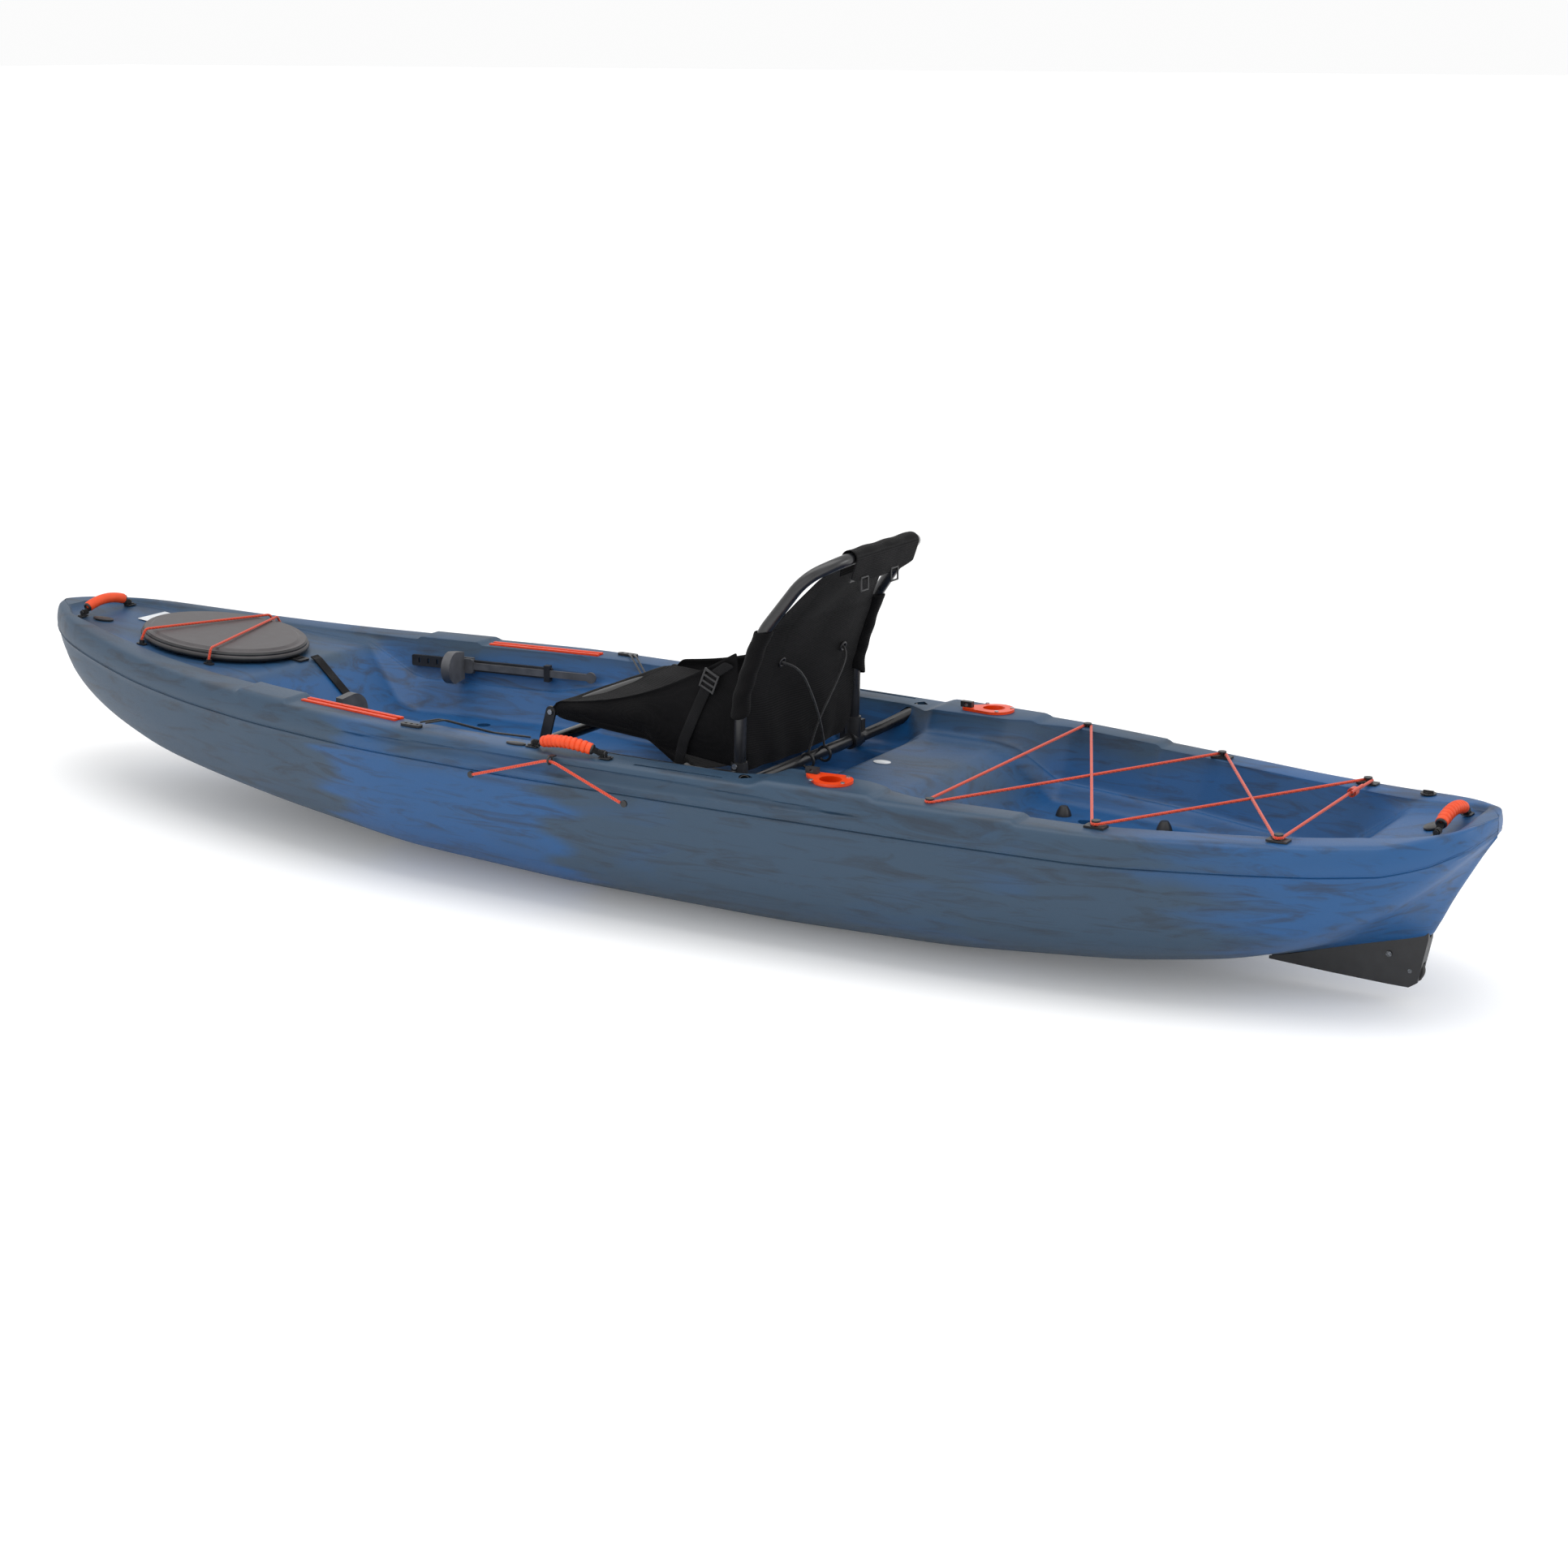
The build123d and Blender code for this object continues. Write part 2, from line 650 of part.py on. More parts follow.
# ---------------------------------------------------------------- paddle keeper and seat tethers
KEEPER = [(-192, -444, 281), (0, -440, 337), (172, -444, 275)]


def make_keeper_bungee():
    return tube_along(bent_path(KEEPER, 60), BUNGEE_R)


def make_keeper_fittings():
    """The ring at the shoulder that lifts the cord, and the buttons that hold its ends."""
    x, y, z = KEEPER[1]
    with BuildPart() as fittings:
        with Locations(Location((x, y, z - 1), (0, 90, 0))):
            Torus(7.5, 2)
        with Locations((x, y + 8, z + 6.4)):
            Box(12, 14, 3)
        for end, away in ((KEEPER[0], -1), (KEEPER[2], 1)):
            with Locations(Location((end[0] + away * 7.5, end[1] + 2.8, end[2] - 2), (90, 0, 0))):
                Cylinder(7, 4)
    return fittings


def make_eyelets():
    """Black plates with three holes on the gunwales, ahead of the seat."""
    x, y = EYELETS
    with BuildPart() as plates:
        with BuildSketch(Plane.XY.offset(sheer(x) + 1)):
            with Locations((x, y), (x, -y)):
                SlotOverall(54, 16)
                with GridLocations(15, 1, 3, 1):
                    Circle(3.2, mode=Mode.SUBTRACT)
        extrude(amount=5)
    return plates


def make_seat_tethers():
    """Two thin cords on each side, from the eyelet plate back to the seat base's front corner."""
    x, y = EYELETS
    with BuildPart() as tethers:
        for side in (-1, 1):
            for gap in (0, 14):
                route = [
                    (x + 12 + gap, side * (y - 13), 353),
                    (x + 40 + gap, side * (y - 44), 357),
                    (x + 120 + gap, side * (y - 110), 325),
                    (x + 190 + gap, side * 256, 319.5),
                ]
                add(tube_along(soft_path(route, 40), 2).part)
    return tethers


# ---------------------------------------------------------------- footrests
def make_footrest_rail(side):
    """A slotted rail along the footwell wall, with the guide clip that the adjuster runs through."""
    with BuildPart() as rail:
        with BuildSketch(foot_plane(side)):
            with Locations((-side * 55, 0)):
                RectangleRounded(374, 26, 4)
        extrude(amount=7)
        with BuildSketch(foot_plane(side)):
            with Locations(*[(side * u, 0) for u in range(-222, 100, 24)]):
                SlotOverall(14, 5, rotation=90)
        extrude(amount=8, mode=Mode.SUBTRACT)
        with BuildSketch(foot_plane(side)):
            with Locations((side * 122, 0)):
                Rectangle(14, 38)
        extrude(amount=15)
        with BuildSketch(foot_plane(side).offset(7)):
            with Locations((side * 122, 0)):
                Rectangle(20, 16.6)
        extrude(amount=6, mode=Mode.SUBTRACT)
    return rail


def make_footrest_slider(side):
    """The sleeve that runs on the rail, with the adjuster bar and its knob behind it."""
    at = side * FOOT_PADS[side]
    with BuildPart() as slider:
        with BuildSketch(foot_plane(side).offset(7.3)):
            with Locations((at, 0)):
                RectangleRounded(64, 34, 5)
        extrude(amount=9)
        with BuildSketch(foot_plane(side).offset(0.5)):
            with Locations((at, 16.2), (at, -16.2)):
                Rectangle(60, 5)
        extrude(amount=8)
        with BuildSketch(foot_plane(side).offset(7.5)):
            with Locations((at + side * 175, 0)):
                Rectangle(330, 16)
            with Locations((at + side * 340, 0)):
                Circle(13)
        extrude(amount=5)
    return slider


def make_footrest_pad(side):
    """The D-shaped foot pad, standing out from the slider into the footwell."""
    at = side * FOOT_PADS[side]
    base = foot_plane(side)
    with BuildPart() as pad:
        with BuildSketch(Plane(origin=base.from_local_coords((at, 0, 0)), x_dir=base.z_dir, z_dir=base.x_dir)):
            with BuildLine():
                Polyline((16.6, 30), (16.6, -34), (52, -40))
                ThreePointArc((52, -40), (88, -6), (60, 34))
                Line((60, 34), (16.6, 30))
            make_face()
        extrude(amount=11, both=True)
    return pad


# ---------------------------------------------------------------- skeg
def make_skeg():
    """The skeg under the stern: a tapered black fin with a slot for its wheel."""
    with BuildPart() as skeg:
        with BuildSketch(side_plane(0)):
            with BuildLine():
                Polyline(
                    (1366, 41), (1482, 36), (1600, 33), (1640, 33), (1656, 44), (1672, 130),
                    (1672, 150), (1520, 130), (1366, 60), close=True,
                )
            make_face()
        extrude(amount=SKEG_HALF, both=True)
        add(bottom_solid.part, mode=Mode.SUBTRACT)
        with BuildSketch(side_plane(0)):
            with Locations((WHEEL_X, WHEEL_Z)):
                Circle(WHEEL_R + 4)
            with Locations((WHEEL_X + 30, WHEEL_Z - 16)):
                Rectangle(60, 66)
        extrude(amount=7.5, both=True, mode=Mode.SUBTRACT)
        for x, z in ((WHEEL_X, WHEEL_Z), (1600, 92)):
            with Locations(Location((x, 0, z), (90, 0, 0))):
                Cylinder(AXLE_R, 60, mode=Mode.SUBTRACT)
    return skeg


def make_skeg_wheel():
    with BuildPart() as wheel:
        with Locations(Location((WHEEL_X, 0, WHEEL_Z), (90, 0, 0))):
            Cylinder(WHEEL_R, 13)
            fillet(wheel.edges(), 3)
            Cylinder(AXLE_R + RUNNING_FIT, 20, mode=Mode.SUBTRACT)
    return wheel


def make_skeg_pin(x, z, half):
    """A headed pin through the skeg."""
    with BuildPart() as pin:
        with Locations(Location((x, 0, z), (90, 0, 0))):
            Cylinder(AXLE_R, 2 * half)
    return pin


def make_skeg_screws():
    """The screw that holds the skeg, with a head on each side."""
    with BuildPart() as screws:
        with Locations(Location((1600, 0, 92), (90, 0, 0))):
            Cylinder(AXLE_R - 0.2, 2 * SKEG_HALF + 3)
        for side in (-1, 1):
            with Locations(Location((1600, side * (SKEG_HALF + 1.6), 92), (90, 0, 0))):
                Cylinder(5.5, 2.4)
    return screws


def make_drain_plug():
    """The drain plug in the stern gunwale: a stem, a flange and a thumb bar."""
    x, y = PLUG
    with BuildPart() as plug:
        with Locations((x, y, 332)):
            Cylinder(8.5, 22, align=(Align.CENTER, Align.CENTER, Align.MIN))
        with Locations((x, y, sheer(x) + 2)):
            Cylinder(15, 2.5, align=(Align.CENTER, Align.CENTER, Align.MIN))
            Box(20, 4, 7, align=(Align.CENTER, Align.CENTER, Align.MIN))
    return plug


# ---------------------------------------------------------------- bow strap
def make_bow_buckle():
    """A plate with a slotted buckle at the aft edge of the bow deck."""
    with BuildPart() as buckle:
        with BuildSketch(Plane(origin=(-1053, 12, 331.9), x_dir=(0.996, 0, -0.087), z_dir=(0.087, 0, 0.996))):
            RectangleRounded(40, 34, 5)
            with Locations((6, 0)):
                Rectangle(6, 26, mode=Mode.SUBTRACT)
        extrude(amount=4)
    return buckle


def make_bow_strap():
    """Webbing from the buckle over the deck's edge, down into the footwell and aft along its floor."""
    top = [(-1036, 336.5), (-1024, 330.5), (-897, 219.5), (-858, 199.5), (-300, 199.5)]
    under = [(x - 0.5, z - 2.2) for x, z in top]
    with BuildPart() as strap:
        with BuildSketch(side_plane(60)):
            with BuildLine():
                Polyline(*top, *reversed(under), close=True)
            make_face()
        extrude(amount=25)
    return strap


# ---------------------------------------------------------------- seat
def rear_bar_end(side):
    """The end of the rear bar, which lies in a notch across the deck's shoulder."""
    with BuildLine() as line:
        Line((BAR_X + 30, side * 287.8, 291.5), (BAR_X + 97.8, side * 358, 333.6))
    return line.wires()[0]


def rear_bar_path():
    half = [(BAR_X + 92, 352, 330), (BAR_X + 34, 292, 294), (BAR_X, 264, BAR_Z)]
    return bent_path(both_sides(half), 30)


def make_rear_bar():
    return tube_along(rear_bar_path(), TUBE_R, TUBE_R - 1.6)


def base_path():
    half = [(SEAT_REAR_X, RAIL_Y, RAIL_Z), (SEAT_FRONT_X, RAIL_Y, RAIL_Z)]
    return bent_path(both_sides(half), 45)


def make_seat_base():
    """The U of the side rails and the front bar."""
    return tube_along(base_path(), TUBE_R, TUBE_R - 1.6)


def make_bar_clamps():
    """Two blocks that join the side rails to the rear bar."""
    with BuildPart() as clamps:
        for side in (-1, 1):
            with Locations((BAR_X - 20, side * 258, 289)):
                Box(54, 16, 52)
        for path in (rear_bar_path(), base_path()):
            add(tube_along(path, TUBE_R + 0.05).part, mode=Mode.SUBTRACT)
    return clamps


def pan_path():
    return bent_path(both_sides([(x, PAN_Y, z) for x, z in PAN_POINTS]), [60, 42, 42, 60])


def make_pan_frame():
    """The U of tube that carries the seat's sling."""
    return tube_along(pan_path(), PAN_R, PAN_R - 1.5)


def make_pan_brackets():
    """Plates between the pan and the base: one pair at the front corners, one pair at the rear ends."""
    with BuildPart() as plates:
        for side in (-1, 1):
            for low, high, radius, thick in (((-168, 306), (-148, 374), 12, 5), ((188, 302), (194, 299), 8, 19.6)):
                with BuildSketch(side_plane(side * (PAN_Y + PAN_R + 0.3))):
                    with Locations(low, high):
                        Circle(radius)
                    make_hull()
                extrude(amount=-side * thick)
        add(tube_along(base_path(), TUBE_R + 0.3).part, mode=Mode.SUBTRACT)
    return plates


def back_path():
    return soft_path(both_sides(BACK_POINTS), 110)


def make_back_frame():
    """The hoop of the seat's back."""
    return tube_along(back_path(), TUBE_R, TUBE_R - 1.6)


def make_back_collars():
    """T-shaped collars: each turns on the rear bar and holds one leg of the back's hoop."""
    with BuildPart() as collars:
        for side in (-1, 1):
            with Locations(Location((BAR_X, side * BACK_Y, BAR_Z), (90, 0, 0))):
                Cylinder(18, 34)
            with Locations((BAR_X, side * BACK_Y, BAR_Z)):
                Cylinder(17, 52, align=(Align.CENTER, Align.CENTER, Align.MIN))
            with Locations(Location((BAR_X, side * BACK_Y, BAR_Z), (90, 0, 0))):
                Cylinder(TUBE_R + RUNNING_FIT, 60, mode=Mode.SUBTRACT)
            with Locations((BAR_X, side * BACK_Y, 295.6)):
                Cylinder(13.6, 60, align=(Align.CENTER, Align.CENTER, Align.MIN), mode=Mode.SUBTRACT)
    return collars


def make_bolt_heads(x, y, z):
    """A pair of round bolt heads on the outboard faces at y to port and to starboard."""
    with BuildPart() as bolts:
        for side in (-1, 1):
            with Locations(Location((x, side * (y + 1.5), z), (90, 0, 0))):
                Cylinder(5.5, 3)
    return bolts


def make_seat_sling():
    """The seat's fabric: a sagging panel with sleeves round the pan tube."""
    top = [(-160, 385), (-120, 377), (0, 358), (120, 338), (196, 318)]
    under = [(x + 1, z - 6) for x, z in top]
    with BuildPart() as sling:
        with BuildSketch(side_plane(0)):
            with BuildLine():
                Polyline(*top, *reversed(under), close=True)
            make_face()
        extrude(amount=PAN_Y, both=True)
        add(tube_along(pan_path(), PAN_R + 3).part)
        with Locations(*[(x, side * 237, 330) for x in (-158, 196) for side in (-1, 1)]):
            Box(60, 30, 160, mode=Mode.SUBTRACT)
        add(tube_along(pan_path(), PAN_R + CLEAR).part, mode=Mode.SUBTRACT)
    return sling


def sleeve(path, radius, low, high, half_width):
    """The stretch of a thick tube round a path that lies between two heights and within a half width."""
    with BuildPart() as stretch:
        add(tube_along(path, radius).part)
        with Locations((350, 0, (low + high) / 2)):
            Box(600, 2 * half_width, high - low, mode=Mode.INTERSECT)
    return stretch


def make_back_sling():
    """The back's fabric: a panel in the hoop with sleeves round the legs and the top bar."""
    line = [(316, 345), (318, 450), (334, 505), (370, 600), (440, 696), (503, 738)]
    with BuildPart() as sling:
        with BuildSketch(side_plane(0)):
            with BuildLine():
                Polyline(*[(x - 3, z) for x, z in line], *[(x + 3, z) for x, z in reversed(line)], close=True)
            make_face()
        extrude(amount=BACK_Y, both=True)
        with BuildSketch(Plane(origin=(300, 0, 0), x_dir=(0, 1, 0), z_dir=(1, 0, 0))):
            with BuildLine():
                half = [(214, 340), (222, 430), (222, 590), (196, 655), (150, 712), (130, 745)]
                Polyline(*half, *[(-y, z) for y, z in reversed(half)], close=True)
            make_face()
        extrude(amount=260, mode=Mode.INTERSECT)
        add(sleeve(back_path(), TUBE_R + 4, 432, 590, 260).part)
        add(sleeve(back_path(), TUBE_R + 4, 700, 790, 135).part)
        add(tube_along(back_path(), TUBE_R + CLEAR).part, mode=Mode.SUBTRACT)
    return sling


def make_back_buckles():
    """The square rings that gather the back's top flap."""
    with BuildPart() as buckles:
        for side in (-1, 1):
            with BuildSketch(Plane(origin=(492, side * 78, 700), x_dir=(0, 1, 0), z_dir=(0.83, 0, -0.56))):
                Rectangle(32, 26)
                Rectangle(22, 16, mode=Mode.SUBTRACT)
            extrude(amount=3)
    return buckles


# ---------------------------------------------------------------- all pieces
bottom_solid = moulding(bottom_half, OFFSETS, 0)

save(make_hull_shell(), "hull_lower")
save(make_deck(), "deck")
save(make_skeg(), "skeg")
save(make_skeg_wheel(), "skeg_wheel")
save(make_skeg_pin(WHEEL_X, WHEEL_Z, SKEG_HALF), "skeg_axle")
save(make_skeg_screws(), "skeg_screws")
save(make_drain_plug(), "drain_plug")
save(make_hatch_rim(), "hatch_rim")
save(make_hatch_lid(), "hatch_lid")
save(make_hatch_hooks(), "hatch_hooks")
save(make_hatch_bungee(), "hatch_bungee")
save(make_tankwell_cleats(), "tankwell_cleats")
save(make_tankwell_bungee(), "tankwell_bungee")
save(make_tankwell_knot(), "tankwell_knot")
save(make_track_screws(), "track_screws")
save(make_rod_screws(), "rod_holder_screws")
save(make_rod_clips(), "rod_holder_clips")
save(make_keeper_bungee(), "keeper_bungee")
save(make_keeper_fittings(), "keeper_fittings")
save(make_eyelets(), "eyelet_plates")
save(make_seat_tethers(), "seat_tethers")
save(make_bow_buckle(), "bow_buckle")
save(make_bow_strap(), "bow_strap")
for side, hand in ((-1, "port"), (1, "starboard")):
    save(make_track(side), f"{hand}_track")
    save(make_rod_holder(side), f"{hand}_rod_holder")
    save(make_footrest_rail(side), f"{hand}_footrest_rail")
    save(make_footrest_slider(side), f"{hand}_footrest_slider")
    save(make_footrest_pad(side), f"{hand}_footrest_pad")
for name in HANDLES:
    save(make_handle_strap(name), f"{name}_handle_strap")
    save(make_handle_grip(name), f"{name}_handle_grip")
    save(make_handle_anchors(name), f"{name}_handle_anchors")
save(make_rear_bar(), "seat_rear_bar")
save(make_seat_base(), "seat_base")
save(make_bar_clamps(), "seat_clamps")
save(make_pan_frame(), "seat_pan_frame")
save(make_pan_brackets(), "seat_brackets")
save(make_bolt_heads(-148, PAN_Y + PAN_R + 5.6, 374), "seat_bolts")
save(make_bolt_heads(BAR_X, BACK_Y + 17.3, 322), "back_bolts")
save(make_seat_sling(), "seat_sling")
save(make_back_frame(), "back_frame")
save(make_back_collars(), "back_collars")
save(make_back_sling(), "back_sling")
save(make_back_buckles(), "back_buckles")
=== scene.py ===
"""Looks for the angling kayak: marbled polyethylene mouldings, a fabric seat on its tube frame, cords and fittings.

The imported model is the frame. Everything here is in metres in that frame: +X aft, +Y to starboard, +Z up.
"""

import json
from math import cos, pi, radians, sin, sqrt

import bpy
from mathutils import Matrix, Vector


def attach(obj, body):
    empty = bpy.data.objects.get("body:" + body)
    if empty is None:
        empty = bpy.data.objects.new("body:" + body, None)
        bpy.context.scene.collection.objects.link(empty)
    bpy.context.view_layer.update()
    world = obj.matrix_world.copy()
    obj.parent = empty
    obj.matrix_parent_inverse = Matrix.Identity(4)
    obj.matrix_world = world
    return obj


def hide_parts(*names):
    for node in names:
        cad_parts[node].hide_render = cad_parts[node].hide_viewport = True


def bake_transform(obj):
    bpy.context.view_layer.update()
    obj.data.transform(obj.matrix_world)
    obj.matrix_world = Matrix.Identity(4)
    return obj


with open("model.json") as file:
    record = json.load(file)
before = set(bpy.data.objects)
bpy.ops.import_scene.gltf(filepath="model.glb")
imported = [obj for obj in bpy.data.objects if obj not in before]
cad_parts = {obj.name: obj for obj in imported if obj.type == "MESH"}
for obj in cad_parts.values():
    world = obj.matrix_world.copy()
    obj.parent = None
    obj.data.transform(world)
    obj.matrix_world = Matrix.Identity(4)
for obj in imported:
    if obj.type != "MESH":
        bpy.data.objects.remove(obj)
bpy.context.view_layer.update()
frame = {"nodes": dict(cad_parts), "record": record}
bpy.ops.object.select_all(action="DESELECT")

MM = 0.001

# ---------------------------------------------------------------- camera
CAMERA_PLACE = (3.16966, -4.70283, 1.73119)
CAMERA_AIM = (0.27765, 0.0, 0.22486)

bpy.ops.object.camera_add(location=CAMERA_PLACE)
camera = bpy.context.object
camera.rotation_euler = (Vector(CAMERA_AIM) - Vector(CAMERA_PLACE)).to_track_quat("-Z", "Y").to_euler()
camera.data.lens = 63.05
camera.data.clip_end = 300
bpy.context.scene.camera = camera
bpy.context.scene.view_settings.view_transform = "Standard"


# ---------------------------------------------------------------- materials
def colour(code):
    """Turns an sRGB hex value into the linear colour a shader takes."""
    parts = [int(code[i : i + 2], 16) / 255 for i in (1, 3, 5)]
    return (*[p / 12.92 if p <= 0.04045 else ((p + 0.055) / 1.055) ** 2.4 for p in parts], 1.0)


def node(tree, kind, inputs=None, **settings):
    """Adds a shader node with its settings, and sets or links its inputs."""
    made = tree.nodes.new("ShaderNode" + kind)
    for name, value in settings.items():
        setattr(made, name, value)
    for name, value in (inputs or {}).items():
        if isinstance(value, bpy.types.NodeSocket):
            tree.links.new(value, made.inputs[name])
        else:
            made.inputs[name].default_value = value
    return made


def start_material(name, **shader):
    """A new material with its Principled shader set, and the object coordinates its patterns use."""
    material = bpy.data.materials.new(name)
    material.use_nodes = True
    tree = material.node_tree
    surface = tree.nodes["Principled BSDF"]
    for socket, value in shader.items():
        surface.inputs[socket.replace("_", " ")].default_value = value
    place = node(tree, "TexCoord").outputs["Object"]
    return material, tree, surface, place


def make_marbled_polyethylene(name, slate, blue, dark):
    """Rotomoulded polyethylene. Three colours of powder melt together in the mould, so they run into each other in
    long soft drifts, and the mould's etched face leaves a satin leathery grain."""
    material, tree, surface, place = start_material(name, Roughness=0.38, IOR=1.51)
    painted = node(tree, "Attribute", attribute_name="blueness").outputs["Fac"]
    # drifts of powder 570 mm long, 280 mm wide and 160 mm high
    laid = node(tree, "Mapping", {"Vector": place, "Scale": (1.1, 2.2, 4.0)}).outputs["Vector"]
    drift = node(tree, "TexNoise", {"Vector": laid, "Scale": 1.6, "Detail": 5.0, "Roughness": 0.55,
                                    "Distortion": 0.6}).outputs["Fac"]
    spread = node(tree, "MapRange", {"Value": drift, "From Min": 0.3, "From Max": 0.7}).outputs["Result"]
    lifted = node(tree, "Math", {0: spread, 1: 0.55}, operation="MULTIPLY").outputs["Value"]
    raised = node(tree, "Math", {0: painted, 1: lifted}, operation="ADD").outputs["Value"]
    share = node(tree, "MapRange", {"Value": raised, "From Min": 0.42, "From Max": 0.98}).outputs["Result"]
    body = node(tree, "Mix", {0: share, 6: slate, 7: blue}, data_type="RGBA").outputs[2]
    # dark wisps 200 mm long and 30 to 70 mm across, drawn out by the turning mould
    drawn = node(tree, "Mapping", {"Vector": place, "Scale": (1.0, 3.0, 7.0)}).outputs["Vector"]
    wisp = node(tree, "TexNoise", {"Vector": drawn, "Scale": 5.0, "Detail": 6.0, "Roughness": 0.62,
                                   "Distortion": 1.2}).outputs["Fac"]
    thin = node(tree, "MapRange", {"Value": wisp, "From Min": 0.50, "From Max": 0.68}).outputs["Result"]
    streak = node(tree, "Math", {0: thin, 1: 0.62}, operation="MULTIPLY").outputs["Value"]
    streaked = node(tree, "Mix", {0: streak, 6: body, 7: dark}, data_type="RGBA").outputs[2]
    tree.links.new(streaked, surface.inputs["Base Color"])
    # etched grain 1.6 mm across, drawn coarser than the real 0.8 mm so that it shows, over 140 mm shrinkage waves
    grain = node(tree, "TexNoise", {"Vector": place, "Scale": 620.0, "Detail": 2.0}).outputs["Fac"]
    waves = node(tree, "TexNoise", {"Vector": place, "Scale": 7.0, "Detail": 2.0}).outputs["Fac"]
    coarse = node(tree, "Bump", {"Height": waves, "Strength": 0.25, "Distance": 0.004}).outputs["Normal"]
    bump = node(tree, "Bump", {"Height": grain, "Strength": 0.35, "Distance": 0.0006, "Normal": coarse})
    tree.links.new(bump.outputs["Normal"], surface.inputs["Normal"])
    satin = node(tree, "MapRange", {"Value": grain, "From Min": -1.6, "From Max": 2.6}).outputs["Result"]
    tree.links.new(satin, surface.inputs["Roughness"])
    return material


def make_moulded(name, base, tint, roughness, grain_scale=900.0, grain=0.2, **shader):
    """Injection-moulded plastic: an even colour with a faint mottle, a fine spark-eroded grain and a soft sheen."""
    material, tree, surface, place = start_material(name, Roughness=roughness, IOR=1.5, **shader)
    # flow mottle 26 mm across
    mottle = node(tree, "TexNoise", {"Vector": place, "Scale": 38.0, "Detail": 4.0}).outputs["Fac"]
    share = node(tree, "MapRange", {"Value": mottle, "From Min": 0.35, "From Max": 0.7}).outputs["Result"]
    mixed = node(tree, "Mix", {0: share, 6: base, 7: tint}, data_type="RGBA").outputs[2]
    tree.links.new(mixed, surface.inputs["Base Color"])
    # spark-eroded specks, 1.1 mm across at a scale of 900 and drawn coarser than the real 0.1 mm so that they show
    speck = node(tree, "TexNoise", {"Vector": place, "Scale": grain_scale, "Detail": 2.0}).outputs["Fac"]
    bump = node(tree, "Bump", {"Height": speck, "Strength": grain, "Distance": 0.0005})
    tree.links.new(bump.outputs["Normal"], surface.inputs["Normal"])
    shine = node(tree, "Math", {0: mottle, 1: 0.25, 2: roughness - 0.12}, operation="MULTIPLY_ADD")
    tree.links.new(shine.outputs["Value"], surface.inputs["Roughness"])
    return material


def make_cordage(name, base, fleck, pitch):
    """Braided cord: a woven sheath whose strands cross in small lozenges, pitch metres apart."""
    material, tree, surface, place = start_material(name, Roughness=0.62, Sheen_Weight=0.25)
    # a wave of scale 0.32 / pitch repeats every pitch metres
    right = node(tree, "Mapping", {"Vector": place, "Scale": (1, 1, 0.6)}).outputs["Vector"]
    left = node(tree, "Mapping", {"Vector": place, "Scale": (-1, 1, 0.6)}).outputs["Vector"]
    first = node(tree, "TexWave", {"Vector": right, "Scale": 0.32 / pitch, "Distortion": 0.4},
                 bands_direction="DIAGONAL").outputs["Fac"]
    second = node(tree, "TexWave", {"Vector": left, "Scale": 0.32 / pitch, "Distortion": 0.4},
                  bands_direction="DIAGONAL").outputs["Fac"]
    weave = node(tree, "Math", {0: first, 1: second}, operation="MULTIPLY").outputs["Value"]
    share = node(tree, "MapRange", {"Value": weave, "From Min": 0.0, "From Max": 0.5}).outputs["Result"]
    mixed = node(tree, "Mix", {0: share, 6: fleck, 7: base}, data_type="RGBA").outputs[2]
    tree.links.new(mixed, surface.inputs["Base Color"])
    bump = node(tree, "Bump", {"Height": weave, "Strength": 0.5, "Distance": 0.0006})
    tree.links.new(bump.outputs["Normal"], surface.inputs["Normal"])
    return material


def make_woven(name, base, worn, thread, sheen):
    """Woven nylon or polyester: crossing threads, thread metres apart, with a dusty sheen and slightly paler
    high spots where it rubs."""
    material, tree, surface, place = start_material(name, Roughness=0.82, Sheen_Weight=sheen, Sheen_Roughness=0.4,
                                                    Specular_IOR_Level=0.14)
    warp = node(tree, "TexWave", {"Vector": place, "Scale": 0.32 / thread, "Distortion": 0.3},
                bands_direction="Y").outputs["Fac"]
    crosswise = node(tree, "Mapping", {"Vector": place, "Scale": (0.7, 0.0, 0.7)}).outputs["Vector"]
    weft = node(tree, "TexWave", {"Vector": crosswise, "Scale": 0.32 / thread, "Distortion": 0.3},
                bands_direction="DIAGONAL").outputs["Fac"]
    cross = node(tree, "Math", {0: warp, 1: weft}, operation="MULTIPLY").outputs["Value"]
    # rubbed patches and soft puckers 90 mm across
    rub = node(tree, "TexNoise", {"Vector": place, "Scale": 11.0, "Detail": 5.0, "Roughness": 0.6}).outputs["Fac"]
    tone = node(tree, "Math", {0: cross, 1: 0.35, 2: rub}, operation="MULTIPLY_ADD").outputs["Value"]
    share = node(tree, "MapRange", {"Value": tone, "From Min": 0.35, "From Max": 1.0}).outputs["Result"]
    mixed = node(tree, "Mix", {0: share, 6: base, 7: worn}, data_type="RGBA").outputs[2]
    tree.links.new(mixed, surface.inputs["Base Color"])
    folds = node(tree, "Bump", {"Height": rub, "Strength": 0.35, "Distance": 0.006}).outputs["Normal"]
    bump = node(tree, "Bump", {"Height": cross, "Strength": 0.6, "Distance": 0.0008, "Normal": folds})
    tree.links.new(bump.outputs["Normal"], surface.inputs["Normal"])
    return material


